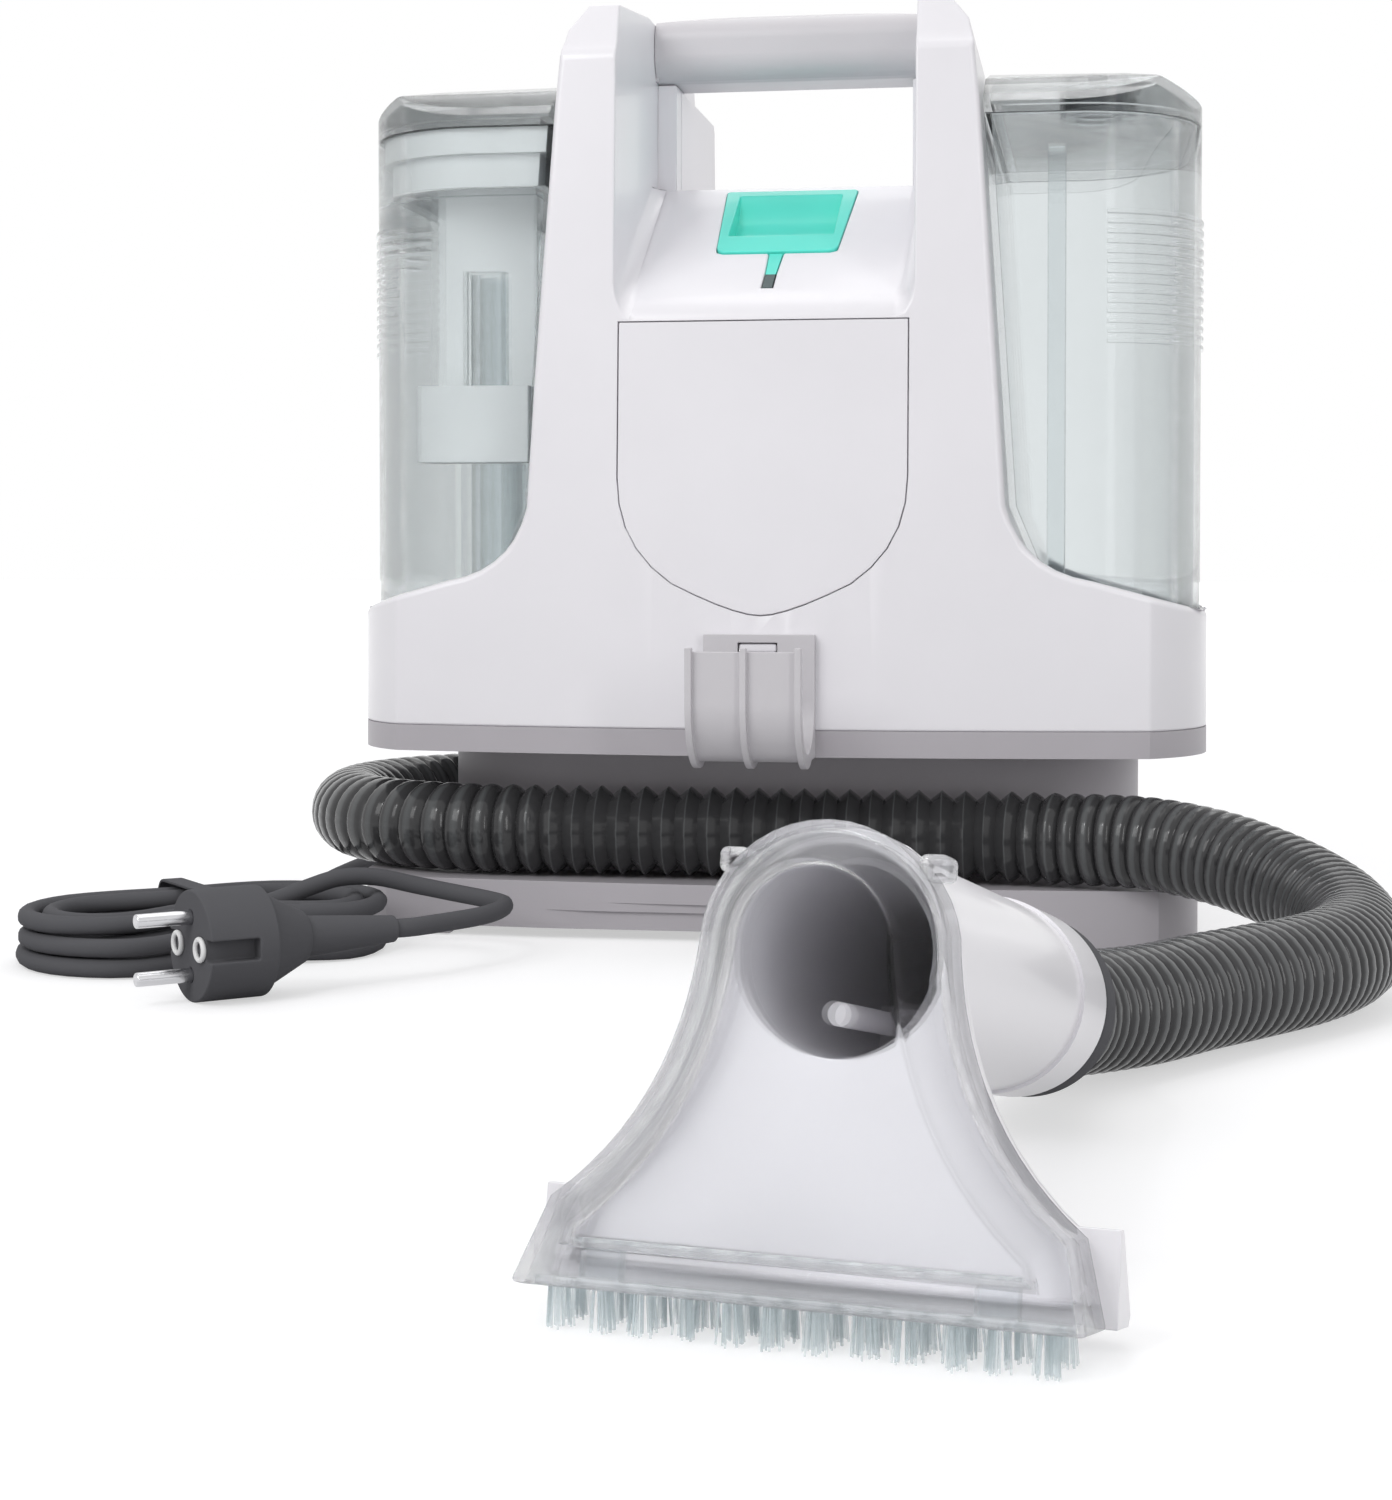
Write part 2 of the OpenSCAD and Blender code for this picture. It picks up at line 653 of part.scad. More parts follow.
module control_board() {
    color([0.10, 0.35, 0.22]) translate([-34, -86, 180]) cube([68, 1.6, 46]);
    color([0.2, 0.2, 0.2]) for (i = [0:3])
        translate([-28 + i * 15, -84.5, 190 + (i % 2) * 16]) cube([10, 7, 10]);
    color(white) for (x = [-1, 1], z = [184, 222])
        rod_y(x * 30, z, 3, front_y(z + 3) + cover_t + gap + wall + 0.05, -86);
}

// ---- suction fan ----
motor_c = [0, 12];
fan_z = 126;
fan_h = 20;
motor_z = fan_z + fan_h + 6;
module suction_motor() {
    color([0.45, 0.45, 0.48]) translate([motor_c[0], motor_c[1], 0]) difference() {
        union() {
            translate([0, 0, motor_z]) cylinder(r = motor_r, h = motor_h);
            translate([0, 0, motor_z + motor_h]) cylinder(r = 16, h = 10);
        }
        for (i = [0:7]) rotate(i * 45) translate([motor_r - 6, -4, motor_z + 10])
            cube([10, 8, motor_h - 20]);
        translate([0, 0, motor_z - 1]) cylinder(r = shaft_r + 1, h = motor_h + 20);
        translate([0, 0, motor_z - 1]) cylinder(r = 9, h = 8);
        translate([0, 0, motor_z + motor_h + 3]) cylinder(r = 9, h = 8);
    }
}
module motor_bearings() {
    color(steel) translate([motor_c[0], motor_c[1], 0])
        for (z = [motor_z, motor_z + motor_h + 3]) ring(9, shaft_r + 0.05, z, z + 7);
}
module motor_mount() {
    color(black) translate([motor_c[0], motor_c[1], 0])
        ring(motor_r, motor_r - 12, fan_z + fan_h + 3, motor_z);
}
module fan_tray() {
    color(grey) difference() {
        union() {
            translate([-90, -66, fan_z - 7]) cube([180, 134, 4]);
            for (x = [-1, 1], y = [-1, 1]) translate([x * 84, y * 60, shell_z - 7])
                cylinder(r = 6, h = fan_z - shell_z + 1);
        }
        translate([motor_c[0], motor_c[1], 100]) cylinder(r = 18.4, h = 40);
    }
}
module impeller() {
    blade_h = fan_h - 7;
    color([0.55, 0.56, 0.58]) translate([motor_c[0], motor_c[1], 0]) difference() {
        union() {
            translate([0, 0, fan_z + 4 + blade_h]) cylinder(r = fan_r, h = 1.6);
            translate([0, 0, fan_z + 4]) cylinder(r = 10, h = blade_h + 1);
            for (i = [0:10]) rotate(i * 360 / 11) translate([9, 0, fan_z + 4]) rotate(28)
                cube([fan_r - 13, 1.5, blade_h + 0.2]);
            translate([0, 0, fan_z + 6]) cylinder(r = shaft_r, h = motor_z + motor_h + 8 - fan_z - 6);
        }
    }
}
module fan_housing() {
    r = fan_r + 5;
    color(light_grey) translate([motor_c[0], motor_c[1], 0]) difference() {
        translate([0, 0, fan_z - 3]) union() {
            cylinder(r = r, h = fan_h + 6);
            translate([0, 0, -5]) cylinder(r = 18, h = 6);
            translate([-20, 30, 0]) cube([40, 44, fan_h + 6]);
        }
        translate([0, 0, fan_z]) cylinder(r = r - 3, h = fan_h);
        translate([0, 0, fan_z - 10]) cylinder(r = 12.1, h = 20);
        translate([0, 0, fan_z + fan_h - 1]) cylinder(r = 7, h = 6);
        translate([-17, 30, fan_z]) cube([34, 60, fan_h]);
    }
}
under = deck_z - wall - 2;          // underside of the well floors, less a plate
air_half = 11;
dirty_half = 14;
duct_wall = 2;
air_pts = [[out_pipe[0], out_pipe[1], under], [out_pipe[0], out_pipe[1], 94],
    [0, out_pipe[1], 94], [motor_c[0], motor_c[1], 94]];
dirty_pts = [[port_x + port_bend, neck_d / 2 - 12, port_z], [port_x + port_bend, 10, port_z],
    [riser[0], 10, port_z], [riser[0], riser[1], port_z], [riser[0], riser[1], under]];
// closing plate of a duct under a well floor, with the spigot that enters the tank
module duct_top(centre, h, p) {
    difference() {
        union() {
            translate([centre[0] - h, centre[1] - h, under]) cube([2 * h, 2 * h, 2]);
            translate([p[0], p[1], under]) cylinder(r = hole_r, h = deck_z + 12 - under);
        }
        translate([p[0], p[1], under - 1]) cylinder(r = hole_r - 2, h = deck_z + 20 - under);
    }
}
module air_duct() {
    in = air_half - duct_wall;
    color(light_grey) {
        difference() {
            union() {
                channel_run(air_pts, air_half, 0, air_half);
                translate([motor_c[0], motor_c[1], 94]) cylinder(r = 12, h = fan_z - 3 - 94);
            }
            channel_run(air_pts, in, 1, in);
            translate([motor_c[0], motor_c[1], 94]) cylinder(r = 10, h = 40);
        }
        duct_top(out_pipe, air_half, out_pipe);
    }
}
module dirty_duct() {
    color(light_grey) {
        difference() {
            channel_run(dirty_pts, dirty_half, 0, 0);
            channel_run(dirty_pts, dirty_half - duct_wall, 1, 1);
        }
        duct_top(riser, dirty_half, in_pipe);
    }
}
module hose_port() {
    out = hose_bore / 2 + 4.5;
    in = hose_bore / 2;
    px = port_x + port_bend;
    color(grey) {
        translate([port_x, neck_d / 2, port_z]) rotate_extrude(angle = 90)
            translate([port_bend, 0]) difference() {
                circle(out);
                circle(in);
            }
        difference() {
            union() {
                rod_y(px, port_z, out, neck_d / 2 - 11.5, neck_d / 2);
                rod_y(px, port_z, out + 3, neck_d / 2 - 6.2, neck_d / 2 - wall - 0.1);
            }
            rod_y(px, port_z, in, neck_d / 2 - 15, neck_d / 2 + 1);
        }
    }
}
module port_gaskets() {
    color(black) for (p = [in_pipe, out_pipe, clean_port])
        translate([p[0], p[1], 0]) ring(13, hole_r + 0.1, deck_z, tank_bottom - 0.3);
}
pump_c = [58, -32, 10 + pump_r];
module water_pump() {
    color(black) {
        rod_x(pump_c[1], pump_c[2], pump_r, pump_c[0] - 36, pump_c[0] + 20);
        rod_x(pump_c[1], pump_c[2], pump_r - 5, pump_c[0] + 20, pump_c[0] + 36);
        for (x = [-20, 10]) translate([pump_c[0] + x - 4, pump_c[1] - pump_r, arch_h + wall])
            cube([8, 2 * pump_r, pump_r]);
        translate([pump_c[0] + 28, pump_c[1], pump_c[2]]) cylinder(r = 4, h = 16);
    }
}
module water_line() {
    top = pump_c[2] + 16;
    color([0.85, 0.88, 0.88]) {
        pipe([[clean_port[0], clean_port[1], under + 1], [clean_port[0], clean_port[1], 60],
            [pump_c[0] + 28, pump_c[1], 60], [pump_c[0] + 28, pump_c[1], top]], 4, 2.6);
        translate([clean_port[0], clean_port[1], 0]) {
            ring(hole_r, hole_r - 2, under, deck_z + 12);
            ring(12, 2.6, under, under + 2);
        }
        translate([clean_port[0], clean_port[1], deck_z + 2]) difference() {
            cylinder(r = hole_r - 1, h = 2);
            for (i = [0:2]) rotate(i * 120) translate([4.2, 0, -1]) cylinder(r = 1.5, h = 4);
        }
    }
}
gland_y = 103.2;
gland_end = 130;
module cord_gland() {
    color(black) difference() {
        union() {
            rod_y(gland_x, gland_z, 6, gland_y - 14, gland_y + 1);
            rod_y(gland_x, gland_z, 9, gland_y + 0.9, gland_y + 3.6);
            translate([gland_x, gland_y + 3.6, gland_z]) rotate([-90, 0, 0])
                cylinder(r1 = 6.4, r2 = 4.6, h = gland_end - gland_y - 3.6);
        }
        rod_y(gland_x, gland_z, cord_d / 2, gland_y - 20, gland_y + 6);
        for (i = [0:3]) translate([gland_x - 10, gland_y + 7 + i * 4.5, gland_z + 4.6]) cube([20, 2, 6]);
    }
}

// ---- tanks ----
module tank_shell() {
    difference() {
        union() {
            tank_block(0, tank_bottom, lid_z);
            for (i = [0:rib_n - 1]) intersection() {
                tank_block(-0.9, 226 + i * 3.7, 227.6 + i * 3.7);
                translate([tank_x - 36, -tank_d, 200]) cube([60, tank_d - 36, 100]);
            }
        }
        tank_block(tank_wall, tank_bottom + tank_wall, lid_z + 1);
    }
}
sep_plate = 294;
module dirty_tank() {
    color(clear) difference() {
        mirror([1, 0, 0]) union() {
            tank_shell();
            // ledge that carries the separator
            difference() {
                tank_block(tank_wall - 0.5, sep_plate - 8, sep_plate - 5);
                tank_block(tank_wall + 4.2, sep_plate - 9, sep_plate - 4);
            }
        }
        for (p = [in_pipe, out_pipe])
            translate([p[0], p[1], tank_bottom - 1]) cylinder(r = hole_r + tank_gap, h = 10);
    }
}
// two standing pipes joined by a web: dirty water in, air out
module pipe_stack() {
    z0 = tank_bottom + tank_wall;
    color(clear) difference() {
        union() {
            translate([in_pipe[0], in_pipe[1], z0]) cylinder(r = pipe_r, h = 262 - z0);
            translate([out_pipe[0], out_pipe[1], z0]) cylinder(r = pipe_r, h = 284 - z0);
            translate([in_pipe[0] - 1, in_pipe[1], z0]) cube([2, out_pipe[1] - in_pipe[1], 130]);
        }
        for (p = [in_pipe, out_pipe])
            translate([p[0], p[1], z0 - 1]) cylinder(r = hole_r + tank_gap, h = 200);
    }
}
module separator() {
    t = tank_wall + gap;
    color(white) mirror([1, 0, 0]) difference() {
        union() {
            tank_block(t, sep_plate + 8, lid_z);
            tank_block(t + 3, sep_plate - 5, sep_plate + 9);
        }
        tank_block(t + 3, sep_plate + 11, lid_z + 1);
        tank_block(t + 6, sep_plate + 3, sep_plate + 12);
        tank_block(t + 6, sep_plate - 6, sep_plate);
        for (i = [-2:2]) translate([121, 34 + i * 9, sep_plate - 1]) cylinder(r = 3, h = 6);
    }
}
guide_x = 49 - tank_x;
guide_y = 28 - tank_d / 2;
guide_w = 40;
slot_w = 17;
float_z = 183;
float_h = 30;
module float_guide() {
    color(white) difference() {
        union() {
            translate([guide_x - guide_w / 2, guide_y, float_z + 22])
                cube([guide_w, 3, sep_plate - float_z - 22]);
            translate([guide_x - 14, guide_y - 0.1, sep_plate - 8]) cube([28, 34, 8]);
        }
        translate([guide_x - slot_w / 2, guide_y - 1, float_z])
            cube([slot_w, 5, float_rise + float_h + 4]);
        translate([guide_x - 6, guide_y + 8, sep_plate - 9]) cube([12, 20, 10]);
    }
}
module float() {
    w = 44;
    color(white) {
        difference() {
            translate([guide_x - w / 2 - 2, guide_y - 16, float_z]) cube([w, 15.6, float_h]);
            translate([guide_x - w / 2, guide_y - 14, float_z - 1]) cube([w - 4, 11.6, float_h - 1]);
        }
        translate([guide_x - slot_w / 2 + 0.6, guide_y - 0.5, float_z + float_h - 20])
            cube([slot_w - 1.2, 7, 20]);
        translate([guide_x - slot_w / 2 - 3, guide_y + 3.4, float_z + float_h - 20])
            cube([slot_w + 6, 2.6, 20]);
    }
}
// lid form on the +X side, inset by t
module lid_form(t, z0) {
    intersection() {
        tank_block(t, z0, lid_top);
        along_y(-tank_d, tank_d) polygon([[post_out - 10, z0 - 1], [tank_x + 2 - t, z0 - 1],
            [tank_x + 0.6 - t, lid_z + 7 - t], [tank_x - 13 - t, lid_top - 11 - t],
            [tank_x - 30, lid_top - 4.5 - t], [post_out - 10, lid_top - t]]);
        along_x(0, body_w) polygon([[-tank_d, z0 - 1], [tank_d, z0 - 1], [tank_d, lid_z],
            [tank_d / 2 + 0.6 - t, lid_z + 7 - t], [tank_d / 2 - 14 - t, lid_top - 9 - t],
            [40, lid_top - t], [-40, lid_top - t], [-tank_d / 2 + 14 + t, lid_top - 9 - t],
            [-tank_d / 2 - 0.6 + t, lid_z + 7 - t], [-tank_d, lid_z]]);
    }
}
module lid_shell() {
    difference() {
        union() {
            lid_form(0, lid_z + gap);
            tank_block(tank_wall + 0.6, lid_z - 0.2 + gap, lid_z + 4);
        }
        lid_form(tank_wall, lid_z + 3.5);
        tank_block(tank_wall + 4, lid_z - 8, lid_z + 6);
    }
}
latch_x = tank_x + 3.4;
latch_z = lid_z + 4;
module dirty_lid() {
    color(clear) mirror([1, 0, 0]) {
        lid_shell();
        // latch ears
        for (s = [-1, 1]) difference() {
            translate([tank_x - 2, s * 16 - 1.5, latch_z - 3]) cube([8.4, 3, 6.4]);
            rod_y(latch_x, latch_z, 1.45, -40, 40);
        }
    }
}
module lid_latch() {
    color(clear) mirror([1, 0, 0]) {
        rod_y(latch_x, latch_z, 1.4, -17.5, 17.5);
        rod_y(latch_x, latch_z, 2.8, -14, 14);
        translate([latch_x + 0.2, -14, latch_z - 38]) cube([2.4, 28, 38]);
        translate([latch_x + 0.2, -14, latch_z - 38]) rotate([0, 24, 0]) cube([2.2, 28, 7]);
    }
}
cap_c = [124, -34];
module clean_tank() {
    color(clear) difference() {
        union() {
            tank_shell();
            // pick-up rib on the inner wall
            translate([foot_half + 2, -52, tank_bottom + 1]) cube([7, 10, 190]);
        }
        translate([clean_port[0], clean_port[1], tank_bottom - 1]) cylinder(r = hole_r + tank_gap, h = 10);
    }
}
module clean_lid() {
    color(clear) difference() {
        union() {
            lid_shell();
            intersection() {
                translate([cap_c[0], cap_c[1], lid_z + 6]) cylinder(r = 15, h = 40);
                lid_form(0, lid_z + gap);
            }
        }
        translate([cap_c[0], cap_c[1], lid_z + 8]) cylinder(r = 13, h = 40);
        translate([cap_c[0], cap_c[1], lid_z]) cylinder(r = 9, h = 40);
    }
}
module filler_cap() {
    color(light_grey) translate([cap_c[0], cap_c[1], lid_z + 8.2]) difference() {
        cylinder(r = 12.6, h = 13);
        for (k = [-1, 1]) translate([-13, k * 8 - 4, 10]) cube([26, 8, 4]);
    }
}
module seal_ring(side) {
    mirror([side, 0, 0]) difference() {
        tank_block(tank_wall - 2, lid_z, lid_z + gap);
        tank_block(tank_wall, lid_z - 1, lid_z + 1);
    }
}
module dirty_lid_seal() {
    color(black) seal_ring(1);
}
module clean_lid_seal() {
    color(black) seal_ring(0);
}
valve_z = tank_bottom + tank_wall;
module valve_body() {
    color(white) translate([clean_port[0], clean_port[1], 0]) difference() {
        translate([0, 0, valve_z]) cylinder(r = 14, h = 16);
        translate([0, 0, valve_z - 1]) cylinder(r = hole_r + tank_gap, h = 12);
        cylinder(r = 3.05, h = 200);
        for (i = [0:3]) rotate(45 + i * 90) translate([5.6, 0, valve_z + 6]) cylinder(r = 1.6, h = 20);
    }
}
module valve_plunger() {
    color(black) translate([clean_port[0], clean_port[1], 0]) {
        translate([0, 0, deck_z + 4.5]) cylinder(r = 4.5, h = 2.4);
        translate([0, 0, deck_z + 6]) cylinder(r = 3, h = valve_z + 11.3 - deck_z);
        translate([0, 0, valve_z + 16.3]) cylinder(r = 8, h = 2);
    }
}

// ---- hand tool ----
tool_at = [72.4, -607.8];
tool_yaw = -10;
cuff_end = nozzle_d + 3 + grip_len + 27;
module at_tool() {
    translate([tool_at[0], tool_at[1], 0]) rotate(tool_yaw) children();
}
// frame of the tilted tool: mouth edge at the origin, grip along +Y
module in_tool() {
    at_tool() translate([0, 0, mouth_z]) rotate([-tool_tilt, 0, 0]) children();
}
arch_r = grip_r + 1.5;
// half outline of the nozzle, inset by t, foot to arch
function bell_side(t, foot) = concat([[mouth_w / 2 - t, foot], [mouth_w / 2 - t, max(3, foot + 1)]],
    bezier([mouth_w / 2 - 4 - t, 16], [arch_r + 3 - t, 34], [arch_r - t, arch_h2], 8),
    [for (a = [12:12:90]) [(arch_r - t) * cos(a), arch_h2 + (arch_r - t) * sin(a)]]);
module bell(t, foot, y0, y1) {
    half = bell_side(t, foot);
    along_y(y0, y1) polygon(concat(half, mirror_x([for (i = [0:len(half) - 2]) half[i]])));
}
module nozzle_cover() {
    color(clear) in_tool() difference() {
        union() {
            bell(0, 0, 0, nozzle_d);
            bell(8, 7, -2.4, 1);
            for (s = [-1, 1]) translate([s * 20 - 3, nozzle_d - 9, arch_h2 + 14]) cube([6, 9, 5]);
        }
        bell(2, -1, 2, nozzle_d + 1);
        bell(10, 9, -0.4, 3);
        translate([-mouth_w / 2 + 12, -4, 1.5]) cube([mouth_w - 24, 10, 4]);
    }
}
module nozzle_back() {
    y0 = nozzle_d + 0.2;
    y1 = nozzle_d + 3;
    color(white) in_tool() difference() {
        union() {
            bell(0, 0, y0, y1);
            along_x(-mouth_w / 2 - 2, mouth_w / 2 + 2)
                polygon([[y0, 0], [y0, 18], [y1, 18], [y1 + 11, 2], [y1 + 9, 0]]);
            bell(3, 4, nozzle_d - 3, y0 + 1);
        }
        bell(5, -1, nozzle_d - 4, y0 - 0.1);
        translate([0, y1 + 1, arch_h2]) rotate([90, 0, 0]) cylinder(r = grip_r - 2.5, h = 12);
        translate([-4.2, y1 + 2, -1]) cube([8.4, 7, 10]);
    }
}
module brush_plate() {
    color(clear) in_tool() {
        translate([-mouth_w / 2 + 4, 2.3, -0.6]) cube([mouth_w - 8, nozzle_d - 5.8, 2]);
        for (s = [-1, 1]) translate([s * 38 - 4, 2.3, 1]) cube([8, 4, 6]);
    }
}
tuft_n = 12;
module bristles() {
    pitch = (mouth_w - 16) / (tuft_n - 1);
    color([0.85, 0.93, 0.95, 0.6]) intersection() {
        at_tool() for (i = [0:tuft_n - 1], k = [0, 1])
            translate([-mouth_w / 2 + 8 + i * pitch + k * 1.5, 5.2 + k * 7, 0]) cylinder(r = 2.9, h = 30);
        in_tool() translate([-mouth_w, -20, -40.6]) cube([2 * mouth_w, 60, 40]);
    }
}
ear_y = nozzle_d + 36;
ear_z = arch_h2 - grip_r - 5;
stem_y = ear_y + 34;
module tool_grip() {
    y0 = nozzle_d + 3;
    color(white) in_tool() difference() {
        union() {
            rod_y(0, arch_h2, grip_r, y0, y0 + grip_len);
            rod_y(0, arch_h2, grip_r + 0.8, y0 + grip_len - 34, y0 + grip_len - 4);
            for (s = [-1, 1]) translate([s * 9 - 1.5, ear_y - 5, ear_z - 5]) cube([3, 10, 13.5]);
        }
        rod_y(0, arch_h2, grip_r - 2.5, y0 - 1, y0 + grip_len + 1);
        rod_x(ear_y, ear_z, 2.05, -20, 20);
        translate([0, stem_y, arch_h2 - grip_r - 1]) cylinder(r = 2.3, h = 6);
    }
}
module trigger() {
    color(light_grey) in_tool() {
        rod_x(ear_y, ear_z, 2, -10.5, 10.5);
        translate([-7, ear_y - 4, ear_z - 4]) cube([14, 8, 8]);
        translate([-7, ear_y, ear_z - 4]) cube([14, 50, 5]);
        translate([-7, ear_y + 44, ear_z - 9]) cube([14, 6, 8]);
    }
}
module spray_valve() {
    z0 = arch_h2 - sqrt(pow(grip_r - 2.5, 2) - 25) + 0.1;
    color(light_grey) in_tool() {
        translate([0, stem_y, z0]) difference() {
            cylinder(r = 5, h = 12);
            translate([0, 0, -1]) cylinder(r = 2.3, h = 8);
        }
        rod_y(0, z0 + 8, 2.4, nozzle_d + 3.2, stem_y - 4);
    }
}
module spray_jet() {
    color(light_grey) in_tool() difference() {
        translate([-4, nozzle_d + 5.2, 1]) cube([8, 6.6, 7.8]);
        translate([0, nozzle_d + 8.5, 0]) cylinder(r = 1, h = 4);
    }
}
module valve_stem() {
    color(steel) in_tool() translate([0, stem_y, ear_z + 1 + 0.2])
        cylinder(r = 2.2, h = arch_h2 - grip_r - ear_z + 2.5);
}
module tool_cuff() {
    y0 = nozzle_d + 3 + grip_len;
    color(black) in_tool() difference() {
        union() {
            rod_y(0, arch_h2, grip_r + 0.4, y0 + 0.2, y0 + 12);
            translate([0, y0 + 12, arch_h2]) rotate([-90, 0, 0])
                cylinder(r1 = grip_r + 0.4, r2 = hose_d / 2 + 1.5, h = 15);
            rod_y(0, arch_h2, grip_r - 2.8, y0 - 12, y0 + 1);
        }
        rod_y(0, arch_h2, hose_bore / 2, y0 - 20, y0 + 40);
    }
}

// ---- swept soft parts ----
function catmull(p, i, t) = let (n = len(p),
    a = p[max(i - 1, 0)], b = p[i], c = p[min(i + 1, n - 1)], d = p[min(i + 2, n - 1)],
    m = (c - a) / 2, k = (d - b) / 2)
    (2 * pow(t, 3) - 3 * t * t + 1) * b + (pow(t, 3) - 2 * t * t + t) * m
    + (3 * t * t - 2 * pow(t, 3)) * c + (pow(t, 3) - t * t) * k;
function smooth_line(p, n) = concat([for (i = [0:len(p) - 2], j = [0:n - 1]) catmull(p, i, j / n)],
    [p[len(p) - 1]]);
function unit(v) = v / norm(v);
function ring_at(line, i, r, sides) = let (n = len(line),
    t = unit(line[min(i + 1, n - 1)] - line[max(i - 1, 0)]),
    s = unit(cross(t, [0, 0, 1])), u = cross(s, t))
    [for (k = [0:sides - 1]) let (a = (k + 0.5) * 360 / sides) line[i] + r * (cos(a) * s + sin(a) * u)];
function total(line, i = 0) = i >= len(line) - 1 ? 0 : norm(line[i + 1] - line[i]) + total(line, i + 1);
function flat(v) = [for (a = v, b = a) b];
module tube(line, radii, sides) {
    n = len(line);
    pts = flat([for (i = [0:n - 1]) ring_at(line, i, radii[i], sides)]);
    walls = [for (i = [0:n - 2], k = [0:sides - 1]) let (a = i * sides + k, b = i * sides + (k + 1) % sides)
        each [[a, a + sides, b + sides], [a, b + sides, b]]];
    caps = [for (k = [1:sides - 2]) each [[0, k, k + 1],
        [(n - 1) * sides, (n - 1) * sides + k + 1, (n - 1) * sides + k]]];
    polyhedron(pts, concat(walls, caps), convexity = 10);
}
// ribbed tube with a bore: outer rings at every point, bore rings at every step points
module ribbed_tube(line, radii, bore_r, step, sides) {
    n = len(line);
    inner = [for (i = [0:step:n - 1]) i];
    m = len(inner);
    outer_pts = flat([for (i = [0:n - 1]) ring_at(line, i, radii[i], sides)]);
    inner_pts = flat([for (i = inner) ring_at(line, i, bore_r, sides)]);
    o = n * sides;
    walls = [for (i = [0:n - 2], k = [0:sides - 1]) let (a = i * sides + k, b = i * sides + (k + 1) % sides)
        each [[a, a + sides, b + sides], [a, b + sides, b]]];
    bore = [for (i = [0:m - 2], k = [0:sides - 1])
        let (a = o + i * sides + k, b = o + i * sides + (k + 1) % sides)
        each [[a, b + sides, a + sides], [a, b, b + sides]]];
    ends = [for (k = [0:sides - 1]) let (k2 = (k + 1) % sides, a = (n - 1) * sides, c = o + (m - 1) * sides)
        each [[k, k2, o + k2], [k, o + k2, o + k],
        [a + k, c + k, c + k2], [a + k, c + k2, a + k2]]];
    polyhedron(concat(outer_pts, inner_pts), concat(walls, bore, ends), convexity = 20);
}
// route of the hose: port, round the back and the left end, along the front, loop to the tool
hose_y = neck_d / 2 + port_bend;
hose_route = concat([for (x = [port_x, 14, -14, -42, -70]) [x, hose_y, port_z]],
    [for (a = [90:20:270]) [hose_y * cos(a) - 101, hose_y * sin(a), port_z]],
    [for (x = [-66:30:84]) [x, -hose_y, port_z]],
    [[114, -91, 40], [143, -100, 40], [170, -115, 36.5], [192, -136, 30.5], [206, -163, 24.5],
    [210, -193, 20], [204, -222, 18.5], [191, -249, 18], [174, -274, 18], [156, -298, 18],
    [139, -323, 18]]);
tool_dir = [-sin(tool_yaw) * cos(tool_tilt), cos(tool_yaw) * cos(tool_tilt), -sin(tool_tilt)];
cuff_pt = [tool_at[0], tool_at[1], mouth_z] + [-sin(tool_yaw) * sin(tool_tilt) * arch_h2,
    cos(tool_yaw) * sin(tool_tilt) * arch_h2, cos(tool_tilt) * arch_h2] + tool_dir * cuff_end;
ribs_per_span = 4;
hose_line = smooth_line(concat(hose_route, [cuff_pt + tool_dir * 30, cuff_pt]), ribs_per_span * 2);
module suction_hose() {
    n = len(hose_line);
    color([0.27, 0.28, 0.28]) ribbed_tube(hose_line,
        [for (i = [0:n - 1]) i < 3 || i > n - 4 || i % 2 == 0 ? hose_d / 2 - 0.3 : hose_d / 2 - rib_depth],
        hose_bore / 2, 8, 8);
}
// mains lead: gland, round the left rear corner, along the left side to the hank
lead_route = [[gland_x, 130, gland_z], [-112, 140, 12.1], [-113, 152, 9.2], [-118, 166, 5.5],
    [-130, 179, 3.7], [-148, 186, 3.5], [-168, 184, 3.5], [-186, 175, 3.5], [-199, 160, 3.5],
    [-207, 140, 3.5], [-211, 116, 3.5], [-212, 90, 3.5], [-212, 62, 3.5], [-211, 34, 3.5],
    [-208, 6, 3.5], [-205, -22, 3.5], [-201, -48, 3.5], [-196, -73, 3.5], [-196, -95, 3.5]];
plug_at = [-168, -262];
plug_turn = 42;
plug_long = 74;
hank_c = [-197, -166];
hank_turn = 220;
step_w = cord_d + 1.8;
step_h = cord_d + 0.5;
fold_r = 23;
run_half = 25;
draw_in = 11;
waist_half = run_half + 22;
loop_pts = 24;
// column of each loop: outer to inner, back out, in again
function column(k) = k < 0 ? 3 : let (c = floor(k / 3), j = k % 3) c % 2 == 0 ? 2 - j : j;
function layer(k) = floor(max(k, 0) / 3);
// strands step sideways on the folds and climb along the runs, the last loops first
side_step = [[0.84, 0.99], [0.35, 0.65], [0.01, 0.16]];
climb = [[0, 1], [0.67, 0.83], [0.17, 0.33]];
function ease(t, w) = let (e = max(0, min(1, (t - w[0]) / (w[1] - w[0])))) e * e * (3 - 2 * e);
// course of one loop at t = 0..1, from the middle of one fold to the same place again
function loop_xy(t, r) = let (v = (t + 1 / 3) % 1, a = (v - (v < 0.5 ? 1 / 6 : 2 / 3)) * 540)
    v < 1 / 6 ? [12 * run_half * v - run_half, -r]
    : v < 0.5 ? [run_half + r * sin(a), -r * cos(a)]
    : v < 2 / 3 ? [run_half - 12 * run_half * (v - 0.5), r]
    : [-run_half - r * sin(a), r * cos(a)];
